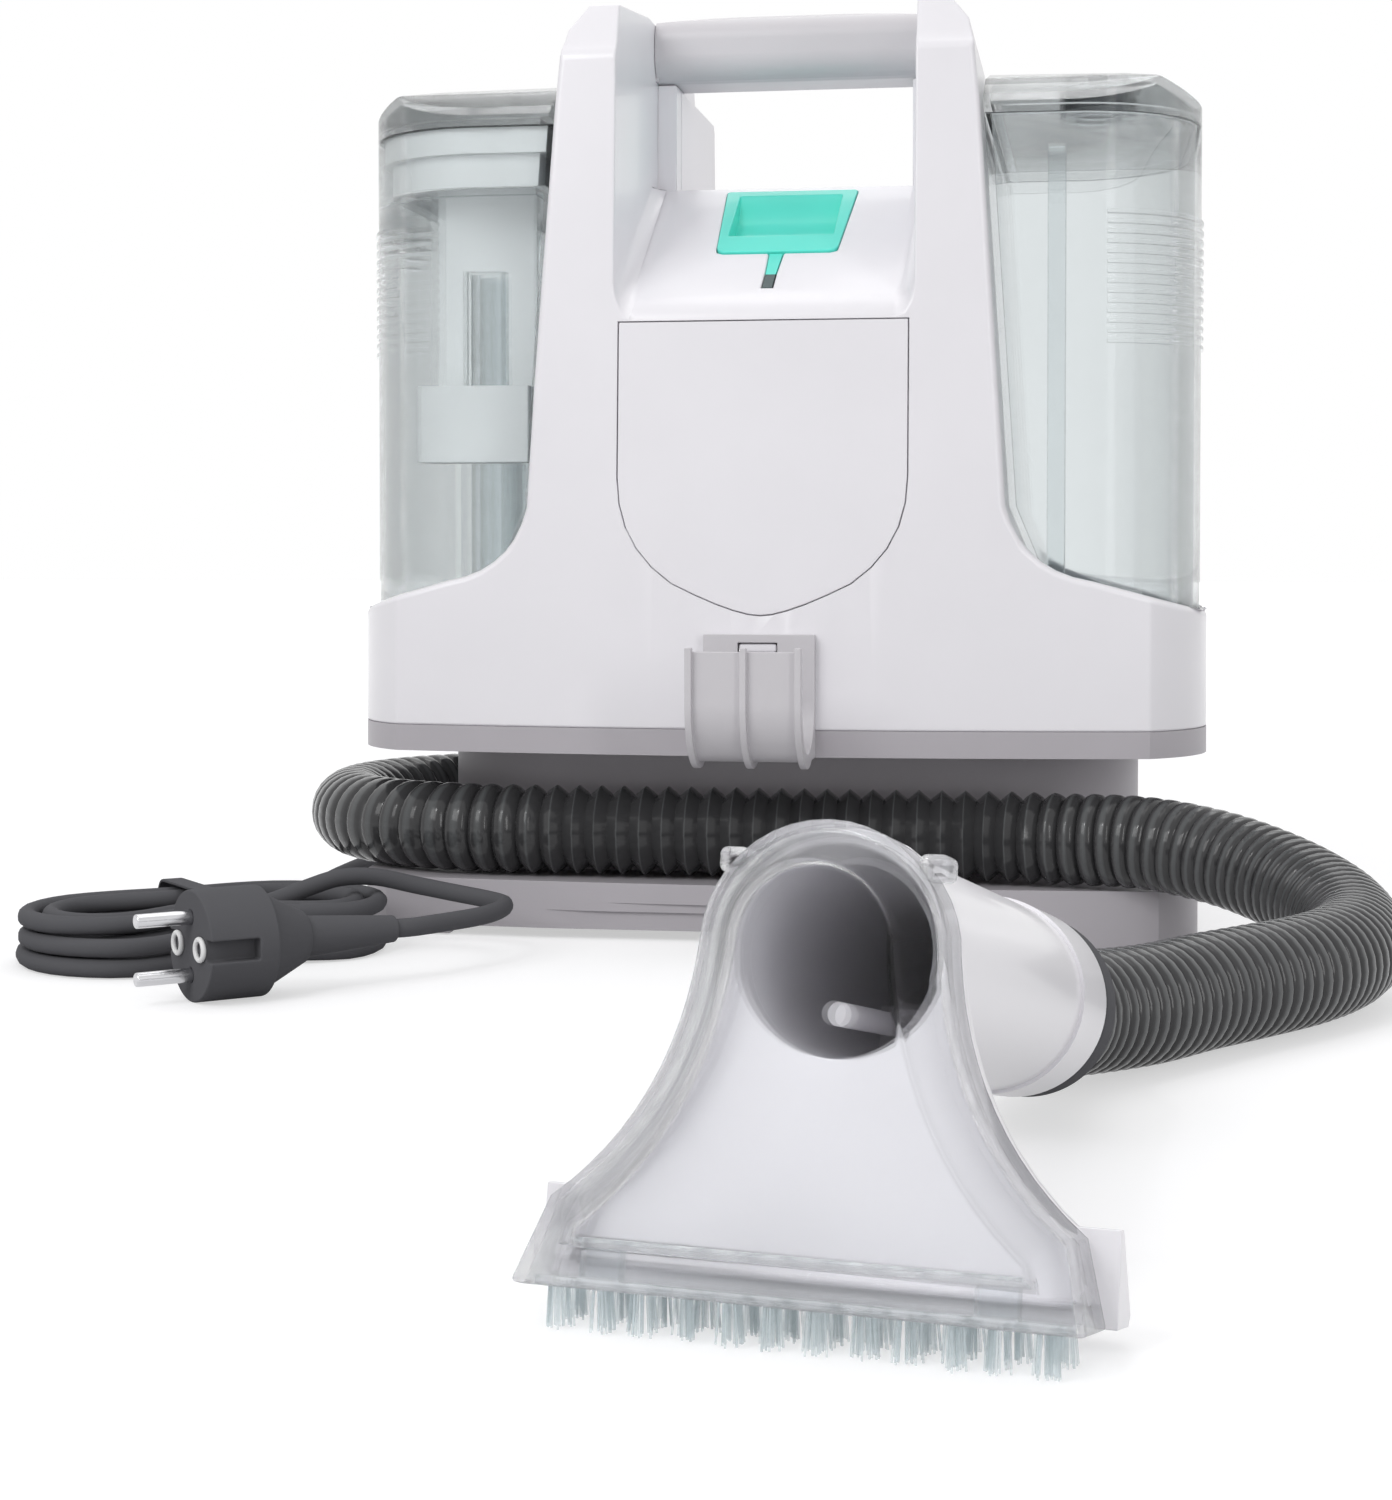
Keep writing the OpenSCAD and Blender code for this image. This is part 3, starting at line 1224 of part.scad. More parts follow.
// one point of the hank: u counts loops
function hank_pt(u) = let (k = floor(u + 0.001), t = max(0, u - k), c0 = column(k - 1), c1 = column(k),
    l0 = layer(k - 1), l1 = layer(k),
    c = c0 + (c1 - c0) * ease(t, side_step[l1]),
    lay = l0 + (l1 - l0) * ease(t, climb[l1]),
    p = loop_xy(t, fold_r + c * step_w),
    waist = abs(p[0]) < waist_half ? 0.5 + 0.5 * cos(p[0] * 180 / waist_half) : 0,
    y = p[1] - sign(p[1]) * draw_in * waist)
    [hank_c[0] + p[0] * cos(hank_turn) - y * sin(hank_turn),
    hank_c[1] + p[0] * sin(hank_turn) + y * cos(hank_turn),
    cord_d / 2 + 0.2 + lay * step_h + 1.2 * waist];
hank_line = [for (i = [16:(loop_n - 1) * loop_pts + 7]) hank_pt(i / loop_pts)];
lead_line = smooth_line(concat(lead_route, [hank_line[0]]), 2);
tail_in = [plug_at[0] + plug_long * cos(plug_turn), plug_at[1] + plug_long * sin(plug_turn), plug_r];
tail_route = [[-171.5, -162, 20.5], [-162.5, -154.5, 24], [-152.5, -146, 27], [-141, -137.5, 26.5],
    [-128, -131, 23], [-113, -129, 20], [-99, -134, 18.5], [-90, -146, 18.5], [-88, -162, 18.5],
    [-91, -178, 18.5], [-98.5, -193, 18.5]];
tail_line = smooth_line(concat([hank_line[len(hank_line) - 1]], tail_route,
    [tail_in + 8 * [cos(plug_turn), sin(plug_turn), 0], tail_in]), 2);
module cord(line, sides) {
    color(black) tube(line, [for (i = [0:len(line)]) cord_d / 2], sides);
}
module mains_lead() {
    cord(lead_line, 8);
}
module cord_hank() {
    cord(hank_line, 6);
}
module cord_tail() {
    cord(tail_line, 8);
}
module cord_tie() {
    far = fold_r + 3 * step_w - draw_in + cord_d / 2 + 1;
    w = 2 * far - step_w;
    h = 3 * step_h + 2.6;
    color(black) translate([hank_c[0], hank_c[1], 0]) rotate(hank_turn) difference() {
        translate([-4, -far - 1.2, 0]) cube([8, w + 2.4, h + 1.2]);
        translate([-5, -far, 0.8]) cube([10, w, h - 0.8]);
    }
}
module at_plug() {
    translate([plug_at[0], plug_at[1], plug_r]) rotate(plug_turn) children();
}
module plug_body() {
    color(black) at_plug() difference() {
        union() {
            rod_x(0, 0, plug_r, 0, 24);
            translate([24, 0, 0]) rotate([0, 90, 0]) cylinder(r1 = plug_r - 2, r2 = 8.5, h = 16);
            translate([40, 0, 0]) rotate([0, 90, 0]) cylinder(r1 = 7, r2 = 4.6, h = plug_long - 40);
        }
        for (s = [-1, 1]) translate([-1, s * (plug_r - 2.5) - 3, -3.5]) cube([18, 6, 7]);
        for (s = [-1, 1]) rod_x(0, s * 9.5, 2.4, -1, 8);
    }
}
module plug_pins() {
    color(steel) at_plug() for (s = [-1, 1]) rod_x(0, s * 9.5, 2.35, -19, 8);
}

function near(line, skip) = min([for (i = [0:len(line) - 1], j = [i + skip:1:len(line) - 1])
    norm(line[i] - line[j])]) - cord_d;
echo(hank_start = hank_line[0], hank_end = hank_line[len(hank_line) - 1]);
echo(hose_length = total(hose_line), lead_length = total(lead_line),
    hank_length = total(hank_line), tail_length = total(tail_line),
    hank_gap = near(hank_line, 4), cuff = cuff_pt);

base_pan();
rubber_feet();
base_screws();
skirt_band();
front_shell();
rear_shell();
shell_bolts();
front_cover();
handle_bar();
exhaust_grille();
tool_hook();
power_button();
button_spring();
light_guide();
power_switch();
control_board();
fan_tray();
suction_motor();
motor_bearings();
motor_mount();
impeller();
fan_housing();
air_duct();
dirty_duct();
hose_port();
port_gaskets();
water_pump();
water_line();
cord_gland();
dirty_tank();
pipe_stack();
separator();
float_guide();
float();
dirty_lid();
dirty_lid_seal();
lid_latch();
clean_tank();
clean_lid();
clean_lid_seal();
filler_cap();
valve_body();
valve_plunger();
nozzle_cover();
nozzle_back();
brush_plate();
bristles();
spray_jet();
tool_grip();
tool_cuff();
trigger();
spray_valve();
valve_stem();
suction_hose();
mains_lead();
cord_hank();
cord_tie();
cord_tail();
plug_body();
plug_pins();
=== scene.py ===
"""Portable spot extractor: the moulded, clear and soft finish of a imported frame."""

import json
import random
from math import cos, pi, radians, sin

import bmesh
import bpy
from mathutils import Matrix, Vector

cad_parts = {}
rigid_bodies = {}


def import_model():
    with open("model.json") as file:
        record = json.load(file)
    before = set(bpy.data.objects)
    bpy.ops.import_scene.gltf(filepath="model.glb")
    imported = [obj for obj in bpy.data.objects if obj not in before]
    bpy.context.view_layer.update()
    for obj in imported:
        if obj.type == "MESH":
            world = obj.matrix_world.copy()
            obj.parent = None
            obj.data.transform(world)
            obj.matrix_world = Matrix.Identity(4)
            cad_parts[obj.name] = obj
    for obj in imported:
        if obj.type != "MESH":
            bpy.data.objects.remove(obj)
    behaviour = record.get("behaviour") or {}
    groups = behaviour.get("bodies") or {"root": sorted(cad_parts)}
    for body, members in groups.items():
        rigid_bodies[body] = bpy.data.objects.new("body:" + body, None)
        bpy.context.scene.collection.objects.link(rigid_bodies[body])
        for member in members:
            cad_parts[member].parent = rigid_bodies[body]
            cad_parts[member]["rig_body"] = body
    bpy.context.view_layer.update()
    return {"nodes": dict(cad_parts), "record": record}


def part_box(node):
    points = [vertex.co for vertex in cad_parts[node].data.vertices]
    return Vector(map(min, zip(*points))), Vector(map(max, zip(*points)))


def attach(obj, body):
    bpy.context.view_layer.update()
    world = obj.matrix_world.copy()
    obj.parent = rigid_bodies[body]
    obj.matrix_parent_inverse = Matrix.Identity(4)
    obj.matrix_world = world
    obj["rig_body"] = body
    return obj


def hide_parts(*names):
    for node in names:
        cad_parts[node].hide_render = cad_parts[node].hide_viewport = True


bl_info = {
    "name": "Spot Extractor",
    "version": (1, 0, 0),
    "blender": (4, 5, 0),
    "location": "View3D > Sidebar > Extractor",
    "description": "Builds the visible pieces of a spot extractor round its frame",
    "category": "Object",
}

MM = 0.001
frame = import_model()

# ---- sizes shared with the frame, in millimetres ----
TOOL_AT = (72.4, -607.8)
TOOL_YAW = -10.0
TOOL_TILT = 12.6
MOUTH_Z = 10.0
MOUTH_W = 110.0
NOZZLE_D = 20.0
GRIP_R = 23.0
ARCH_Z = 66.0
GRIP_LEN = 164.0
RIM = 7.0
PORT_X = 42.0
HOSE_Y = 86.0
HOSE_Z = 40.0
HANK_AT = (-197.0, -166.0)
HANK_TURN = 220.0
PLUG_AT = (-168.0, -262.0, 18.5)
PLUG_TURN = 42.0
PLUG_LONG = 74.0
PIN_X = 9.5              # half distance of the plug's pins
GUIDE_FOOT = 254.5       # height where the guide's aqua ends
POST_FOOT = 125.0        # height where the edges of the posts start
CROWN_H = 27.6           # how far under the top they end
FRONT_HALF = 20.0        # edges nearer the middle than this stay sharp
COVER_JOINT = 1.2        # width beside the cover that counts as its joint
RECESS_Y = 90.0          # the cover's recess lies in front of this
TAB_IN = 1.2             # depth of the dark tab in the hook's slot
TAB_UP = 43.5            # height of the tab over the hook's foot


# ---- small helpers ----
def only(*pieces):
    """Selects these pieces and nothing else; the first is the active one."""
    if bpy.context.object and bpy.context.object.mode != "OBJECT":
        bpy.ops.object.mode_set(mode="OBJECT")
    bpy.ops.object.select_all(action="DESELECT")
    for piece in pieces:
        piece.select_set(True)
    bpy.context.view_layer.objects.active = pieces[0]


def clear_selection():
    """Nothing stays selected before a new primitive is added."""
    bpy.ops.object.select_all(action="DESELECT")
    bpy.context.view_layer.objects.active = None


def named(name):
    """The piece that was just added, under its own name."""
    piece = bpy.context.object
    piece.name = name
    piece.data.name = name
    return piece


def edit(piece, mode="VERT", selected="SELECT"):
    """Opens a piece for modelling with all or nothing selected."""
    only(piece)
    bpy.ops.object.mode_set(mode="EDIT")
    bpy.ops.mesh.select_mode(type=mode)
    bpy.ops.mesh.select_all(action=selected)


def done():
    bpy.ops.object.mode_set(mode="OBJECT")


def pick_faces(piece, test):
    """Selects the faces whose centre and normal pass a test, and goes back to modelling."""
    done()
    for item in (piece.data.vertices, piece.data.edges):
        for part in item:
            part.select = False
    for face in piece.data.polygons:
        face.select = test(face.center, face.normal)
    bpy.ops.object.mode_set(mode="EDIT")
    bpy.ops.mesh.select_mode(type="FACE")


def apply_all(piece):
    only(piece)
    for modifier in list(piece.modifiers):
        bpy.ops.object.modifier_apply(modifier=modifier.name)


def bevelled(piece, width, angle=30.0, segments=3):
    """Rounds the edges of a piece by a bevel and evens its shading."""
    bevel = piece.modifiers.new("edges", "BEVEL")
    bevel.width = width * MM
    bevel.segments = segments
    bevel.limit_method = "ANGLE"
    bevel.angle_limit = radians(angle)
    bevel.use_clamp_overlap = True
    bevel.miter_outer = "MITER_ARC"
    apply_all(piece)
    smooth(piece)
    return piece


def has_room(edge, width):
    """Whether the edges beside the ends of an edge are long enough for its rounding."""
    for vertex in edge.verts:
        along = (edge.other_vert(vertex).co - vertex.co).normalized()
        for side in vertex.link_edges:
            if side is edge:
                continue
            away = (side.other_vert(vertex).co - vertex.co).normalized()
            if away.dot(along) > -0.86 and side.calc_length() < 2.1 * width:
                return False
    return True


def rounded(piece, width, test=None, angle=30.0, segments=3):
    """Rounds the sharp edges that pass a test and have room for it."""
    edit(piece, "EDGE", "DESELECT")
    mesh = bmesh.from_edit_mesh(piece.data)
    for edge in mesh.edges:
        sharp = len(edge.link_faces) == 2 and edge.calc_face_angle(0) > radians(angle)
        edge.select_set(sharp and (test is None or test(edge)) and has_room(edge, width * MM))
    bmesh.update_edit_mesh(piece.data)
    if any(edge.select for edge in mesh.edges):
        bpy.ops.mesh.bevel(offset=width * MM, segments=segments, profile=0.5, affect="EDGES",
                           clamp_overlap=False)
    done()
    return piece


def smooth(piece, angle=35.0):
    only(piece)
    bpy.ops.object.shade_smooth_by_angle(angle=radians(angle))
    normals = piece.modifiers.new("normals", "WEIGHTED_NORMAL")
    normals.keep_sharp = True
    apply_all(piece)


def settled(piece, place):
    """Puts a piece at its place and leaves its object at the origin."""
    only(piece)
    piece.matrix_world = place
    bpy.ops.object.transform_apply(location=True, rotation=True, scale=True)
    return piece


def finish_piece(piece, body, slot, material, *nodes):
    """Gives a piece its finish, the body that carries it and the nodes that it stands for."""
    piece.data.materials.clear()
    piece.data.materials.append(material)
    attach(piece, body)
    if nodes:
        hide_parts(*nodes)
    return piece


def body_of(node):
    return frame["nodes"][node]["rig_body"]


def slot_of(node):
    rows = frame["record"]["subparts"]
    return next(row["material_slot"] for row in rows if row["node"] == node)


def copied(node, merge=2e-5):
    """A copy of a node as one connected mesh with its flat faces joined."""
    piece = bpy.data.objects.new(node + "_skin", frame["nodes"][node].data.copy())
    bpy.context.scene.collection.objects.link(piece)
    edit(piece)
    bpy.ops.mesh.remove_doubles(threshold=merge)
    bpy.ops.mesh.dissolve_degenerate(threshold=merge)
    bpy.ops.mesh.dissolve_limited(angle_limit=radians(0.5))
    done()
    return piece


def softened(node, width, material, angle=30.0, segments=3):
    """A copy of a node with its doubles merged and its edges rounded, in the node's place."""
    piece = bevelled(copied(node), width, angle, segments)
    return finish_piece(piece, body_of(node), slot_of(node), material, node)


def repaint(node, material):
    """Gives a carried-over node its material."""
    target = frame["nodes"][node]
    target.data.materials.clear()
    target.data.materials.append(material)


# ---- materials ----
def link(tree, source, output, target, socket):
    tree.links.new(source.outputs[output], target.inputs[socket])


def moulded(name, colour, roughness, mottle=0.03, grain=900.0, depth=0.04, coat=0.0, scatter=0.0):
    """Moulded plastic or rubber: slight clouding, an uneven gloss and a fine grain."""
    if name in bpy.data.materials:
        return bpy.data.materials[name]
    material = bpy.data.materials.new(name)
    material.use_nodes = True
    tree = material.node_tree
    shader = tree.nodes["Principled BSDF"]
    place = tree.nodes.new("ShaderNodeTexCoord")
    cloud = tree.nodes.new("ShaderNodeTexNoise")
    cloud.inputs["Scale"].default_value = 22.0
    cloud.inputs["Detail"].default_value = 3.0
    link(tree, place, "Object", cloud, "Vector")
    ramp = tree.nodes.new("ShaderNodeValToRGB")
    ramp.color_ramp.elements[0].position = 0.3
    ramp.color_ramp.elements[1].position = 0.7
    ramp.color_ramp.elements[0].color = [c * (1 - mottle) for c in colour[:3]] + [1]
    ramp.color_ramp.elements[1].color = [min(1, c * (1 + mottle)) for c in colour[:3]] + [1]
    link(tree, cloud, "Fac", ramp, "Fac")
    link(tree, ramp, "Color", shader, "Base Color")
    gloss = tree.nodes.new("ShaderNodeMapRange")
    gloss.inputs["To Min"].default_value = roughness * 0.85
    gloss.inputs["To Max"].default_value = roughness * 1.15
    link(tree, cloud, "Fac", gloss, "Value")
    link(tree, gloss, "Result", shader, "Roughness")
    speck = tree.nodes.new("ShaderNodeTexNoise")
    speck.inputs["Scale"].default_value = grain
    speck.inputs["Detail"].default_value = 2.0
    link(tree, place, "Object", speck, "Vector")
    bump = tree.nodes.new("ShaderNodeBump")
    bump.inputs["Strength"].default_value = depth
    bump.inputs["Distance"].default_value = 0.0004
    link(tree, speck, "Fac", bump, "Height")
    link(tree, bump, "Normal", shader, "Normal")
    shader.inputs["Coat Weight"].default_value = coat
    shader.inputs["Coat Roughness"].default_value = 0.08
    if scatter:
        shader.inputs["Subsurface Weight"].default_value = scatter
        shader.inputs["Subsurface Radius"].default_value = (0.004, 0.004, 0.004)
        shader.inputs["Subsurface Scale"].default_value = 1.0
    return material


def clear_moulded(name, colour, roughness, ior=1.25, alpha=0.4, mottle=0.015, clarity=1.0,
        edge=None):
    """Clear moulded plastic with a light tint, faint flow marks and a soft gloss."""
    material = moulded(name, colour, roughness, mottle, 60.0, 0.02)
    shader = material.node_tree.nodes["Principled BSDF"]
    shader.inputs["Alpha"].default_value = alpha
    shader.inputs["Transmission Weight"].default_value = clarity
    shader.inputs["IOR"].default_value = ior
    if edge:
        tree = material.node_tree
        facing = tree.nodes.new("ShaderNodeLayerWeight")
        facing.inputs["Blend"].default_value = 0.35
        mix = tree.nodes.new("ShaderNodeMixRGB")
        mix.inputs["Color2"].default_value = list(edge[:3]) + [1]
        ramp = next(n for n in tree.nodes if n.type == "VALTORGB")
        link(tree, facing, "Facing", mix, "Fac")
        link(tree, ramp, "Color", mix, "Color1")
        link(tree, mix, "Color", shader, "Base Color")
    return material


def metal(name, colour, roughness, stretch=(1.0, 1.0, 30.0)):
    """Turned or brushed metal with fine lines round it."""
    material = moulded(name, colour, roughness, 0.06, 500.0, 0.05)
    tree = material.node_tree
    shader = tree.nodes["Principled BSDF"]
    shader.inputs["Metallic"].default_value = 1.0
    place = next(n for n in tree.nodes if n.type == "TEX_COORD")
    scale = tree.nodes.new("ShaderNodeMapping")
    scale.inputs["Scale"].default_value = stretch
    link(tree, place, "Object", scale, "Vector")
    for noise in [n for n in tree.nodes if n.type == "TEX_NOISE"]:
        link(tree, scale, "Vector", noise, "Vector")
    return material


def srgb(*values):
    """A screen colour as the linear one that a shader wants."""
    return [v / 12.92 if v <= 0.04045 else ((v + 0.055) / 1.055) ** 2.4 for v in values]


# ---- soft runs: routes and skins ----
def smooth_run(points, steps):
    """A Catmull-Rom run through the points, with steps to each span."""
    last = len(points) - 1
    run = []
    for i in range(last):
        a, b = points[max(i - 1, 0)], points[i]
        c, d = points[i + 1], points[min(i + 2, last)]
        m, k = (c - a) / 2, (d - b) / 2
        for j in range(steps):
            t = j / steps
            run.append((2 * t**3 - 3 * t**2 + 1) * b + (t**3 - 2 * t**2 + t) * m
                       + (3 * t**2 - 2 * t**3) * c + (t**3 - t**2) * k)
    run.append(points[last])
    return run


def run_length(run):
    return sum((run[i + 1] - run[i]).length for i in range(len(run) - 1))


def tool_direction():
    yaw, tilt = radians(TOOL_YAW), radians(TOOL_TILT)
    return Vector((-sin(yaw) * cos(tilt), cos(yaw) * cos(tilt), -sin(tilt)))


def tool_place():
    """The tilted frame of the hand tool: mouth edge at its origin, grip along +Y."""
    return (Matrix.Translation(Vector((TOOL_AT[0], TOOL_AT[1], MOUTH_Z)) * MM)
            @ Matrix.Rotation(radians(TOOL_YAW), 4, "Z")
            @ Matrix.Rotation(radians(-TOOL_TILT), 4, "X"))


def cuff_point():
    end = NOZZLE_D + 3 + GRIP_LEN + 27
    return tool_place() @ (Vector((0, end, ARCH_Z)) * MM)


def hose_route():
    """Port, round the back and the left end, along the front and out to the hand tool."""
    points = [Vector((x, HOSE_Y, HOSE_Z)) for x in (PORT_X, 14, -14, -42, -70)]
    points += [Vector((HOSE_Y * cos(radians(a)) - 101, HOSE_Y * sin(radians(a)), HOSE_Z))
               for a in range(90, 271, 20)]
    points += [Vector((x, -HOSE_Y, HOSE_Z)) for x in range(-66, 85, 30)]
    points += [Vector(p) for p in (
        (114, -91, 40), (143, -100, 40), (170, -115, 36.5), (192, -136, 30.5), (206, -163, 24.5),
        (210, -193, 20), (204, -222, 18.5), (191, -249, 18), (174, -274, 18), (156, -298, 18),
        (139, -323, 18))]
    points = [p * MM for p in points]
    end = cuff_point()
    return points + [end + tool_direction() * 30 * MM, end]


def lead_route():
    """Gland, round the left rear corner and along the left side to the hank."""
    return [Vector(p) * MM for p in (
        (-112, 130, 12.5), (-112, 140, 12.1), (-113, 152, 9.2), (-118, 166, 5.5), (-130, 179, 3.7),
        (-148, 186, 3.5), (-168, 184, 3.5), (-186, 175, 3.5), (-199, 160, 3.5), (-207, 140, 3.5),
        (-211, 116, 3.5), (-212, 90, 3.5), (-212, 62, 3.5), (-211, 34, 3.5), (-208, 6, 3.5),
        (-205, -22, 3.5), (-201, -48, 3.5), (-196, -73, 3.5), (-196, -95, 3.5))]


def tail_route():
    """The last run from the hank round to the back of the plug."""
    points = [Vector(p) * MM for p in (
        (-171.5, -162, 20.5), (-162.5, -154.5, 24), (-152.5, -146, 27), (-141, -137.5, 26.5),
        (-128, -131, 23), (-113, -129, 20), (-99, -134, 18.5), (-90, -146, 18.5),
        (-88, -162, 18.5), (-91, -178, 18.5), (-98.5, -193, 18.5))]
    turn = Vector((cos(radians(PLUG_TURN)), sin(radians(PLUG_TURN)), 0))
    end = (Vector(PLUG_AT) + turn * PLUG_LONG) * MM
    return points + [end + turn * 8 * MM, end]


LOOPS = 9
STEP_W = 8.4
STEP_H = 7.1
FOLD_R = 23.0
RUN_HALF = 25.0
DRAW_IN = 11.0
WAIST_HALF = RUN_HALF + 22
SIDE_STEP = ((0.84, 0.99), (0.35, 0.65), (0.01, 0.16))
CLIMB = ((0.0, 1.0), (0.67, 0.83), (0.17, 0.33))
CORD_D = 6.6


def ease(t, window):
    e = max(0.0, min(1.0, (t - window[0]) / (window[1] - window[0])))
    return e * e * (3 - 2 * e)


def column(k):
    if k < 0:
        return 3
    turn, j = divmod(k, 3)
    return 2 - j if turn % 2 == 0 else j


def loop_place(t, r):
    """One course of the hank at t = 0..1: two straight runs and two folds."""
    v = (t + 1 / 3) % 1
    a = radians((v - (1 / 6 if v < 0.5 else 2 / 3)) * 540)
    if v < 1 / 6:
        return 12 * RUN_HALF * v - RUN_HALF, -r
    if v < 0.5:
        return RUN_HALF + r * sin(a), -r * cos(a)
    if v < 2 / 3:
        return RUN_HALF - 12 * RUN_HALF * (v - 0.5), r
    return -RUN_HALF - r * sin(a), r * cos(a)


def hank_place(u):
    """One point of the hank; u counts its loops."""
    k = int(u + 0.001)
    t = max(0.0, u - k)
    l0, l1 = max(k - 1, 0) // 3, max(k, 0) // 3
    c = column(k - 1) + (column(k) - column(k - 1)) * ease(t, SIDE_STEP[l1])
    high = l0 + (l1 - l0) * ease(t, CLIMB[l1])
    x, y = loop_place(t, FOLD_R + c * STEP_W)
    waist = 0.5 + 0.5 * cos(x * pi / WAIST_HALF) if abs(x) < WAIST_HALF else 0.0
    y -= (1 if y > 0 else -1 if y < 0 else 0) * DRAW_IN * waist
    turn = radians(HANK_TURN)
    return Vector((HANK_AT[0] + x * cos(turn) - y * sin(turn),
                   HANK_AT[1] + x * sin(turn) + y * cos(turn),
                   CORD_D / 2 + 0.2 + high * STEP_H + 1.2 * waist)) * MM


def mains_run():
    """The whole mains lead as one line: lead, hank and tail."""
    per_loop = 24
    hank = [hank_place(i / per_loop) for i in range(16, (LOOPS - 1) * per_loop + 8)]
    lead = smooth_run(lead_route() + [hank[0]], 4)
    tail = smooth_run([hank[-1]] + tail_route(), 4)
    return lead + smooth_run(hank, 2)[1:] + tail[1:]


def side_frames(run):
    """Two side directions at each point of a run, carried along without twist."""
    frames = []
    side = None
    for i, point in enumerate(run):
        along = (run[min(i + 1, len(run) - 1)] - run[max(i - 1, 0)]).normalized()
        if side is None:
            side = along.cross(Vector((0, 0, 1))).normalized()
        side = (side - along * side.dot(along)).normalized()
        frames.append((point, side, along.cross(side)))
    return frames


def skin(name, run, radii, sides):
    """A closed tube mesh over a run, with one radius to each point."""
    points, faces = [], []
    for (centre, side, up), r in zip(side_frames(run), radii):
        for k in range(sides):
            a = 2 * pi * k / sides
            points.append(centre + r * (cos(a) * side + sin(a) * up))
    for i in range(len(run) - 1):
        for k in range(sides):
            j = (k + 1) % sides
            faces.append((i * sides + k, i * sides + j, (i + 1) * sides + j, (i + 1) * sides + k))
    faces.append(tuple(reversed(range(sides))))
    faces.append(tuple((len(run) - 1) * sides + k for k in range(sides)))
    mesh = bpy.data.meshes.new(name)
    mesh.from_pydata(points, [], faces)
    piece = bpy.data.objects.new(name, mesh)
    bpy.context.scene.collection.objects.link(piece)
    edit(piece)
    bpy.ops.mesh.normals_make_consistent(inside=False)
    done()
    return piece


def spaced(run, spacing):
    """The run walked at a spacing that may change along it: points, phases and distances."""
    total = run_length(run)
    walked, i, left = 0.0, 0, 0.0
    points, phases, gone, phase = [], [], [], 0.0
    while walked < total:
        while i < len(run) - 2 and (run[i + 1] - run[i]).length < left:
            left -= (run[i + 1] - run[i]).length
            i += 1
        span = run[i + 1] - run[i]
        points.append(run[i] + span * min(1.0, left / span.length))
        phases.append(phase)
        gone.append(walked)
        pitch, share = spacing(walked)
        walked += pitch * share
        left += pitch * share
        phase += share
    points.append(run[-1])
    phases.append(phase)
    gone.append(total)
    return points, phases, gone


# ---- settings ----
class ExtractorFinish(bpy.types.PropertyGroup):
    """Colours of the finish."""
    white: bpy.props.FloatVectorProperty(
        name="Shell", description="Colour of the white shells", subtype="COLOR",
        default=srgb(0.925, 0.918, 0.935), min=0, max=1)
    base: bpy.props.FloatVectorProperty(
        name="Base", description="Colour of the base and the skirt band", subtype="COLOR",
        default=srgb(0.70, 0.685, 0.705), min=0, max=1)
    light: bpy.props.FloatVectorProperty(
        name="Handle", description="Colour of the handle bar and the tool hook", subtype="COLOR",
        default=srgb(0.80, 0.79, 0.805), min=0, max=1)
    button: bpy.props.FloatVectorProperty(
        name="Button", description="Colour of the power button", subtype="COLOR",
        default=srgb(0.33, 0.89, 0.82), min=0, max=1)
    clear: bpy.props.FloatVectorProperty(
        name="Clear plastic", description="Tint of the tanks and their lids", subtype="COLOR",
        default=srgb(0.885, 0.905, 0.91), min=0, max=1)
    clear_edge: bpy.props.FloatVectorProperty(
        name="Clear plastic, edge on", description="Tint of a tank wall that is seen edge on",
        subtype="COLOR", default=srgb(0.20, 0.27, 0.27), min=0, max=1)
    hose: bpy.props.FloatVectorProperty(
        name="Hose", description="Colour of the ribbed hose", subtype="COLOR",
        default=srgb(0.235, 0.235, 0.24), min=0, max=1)


class ExtractorForm(bpy.types.PropertyGroup):
    """Edges of the moulded pieces and the make-up of the soft ones."""
    shell_edge: bpy.props.FloatProperty(
        name="Shell edge", description="Rounding of the shell edges in millimetres",
        default=1.0, min=0.2, max=2.0)
    post_edge: bpy.props.FloatProperty(
        name="Post edge", description="Rounding of the front edges of the posts in millimetres",
        default=2.6, min=0.4, max=3.4)
    small_edge: bpy.props.FloatProperty(
        name="Small edge", description="Rounding of the edges of small pieces in millimetres",
        default=0.8, min=0.1, max=2.0)
    rib_pitch: bpy.props.FloatProperty(
        name="Rib pitch", description="Spacing of the hose ribs where it lies straight",
        default=8.8 * MM, min=4 * MM, max=12 * MM, subtype="DISTANCE", unit="LENGTH")
    rib_pitch_bent: bpy.props.FloatProperty(
        name="Rib pitch in the bend",
        description="Spacing of the hose ribs in the loop to the tool",
        default=5.4 * MM, min=3 * MM, max=12 * MM, subtype="DISTANCE", unit="LENGTH")
    rib_depth: bpy.props.FloatProperty(
        name="Rib depth", description="Depth of the grooves between the hose ribs",
        default=3.6 * MM, min=1 * MM, max=4 * MM, subtype="DISTANCE", unit="LENGTH")
    filaments: bpy.props.IntProperty(
        name="Filaments", description="Filaments in one tuft of the brush",
        default=22, min=6, max=40)


def shell_white():
    return moulded("shell_white", bpy.context.scene.extractor_finish.white, 0.30, 0.012, 1300.0,
        0.03,
                   0.25, 0.05)


def base_grey():
    return moulded("base_grey", bpy.context.scene.extractor_finish.base, 0.42, 0.03, 1500.0, 0.08)


def handle_grey():
    return moulded("handle_grey", bpy.context.scene.extractor_finish.light, 0.36, 0.02, 1400.0,
        0.06)


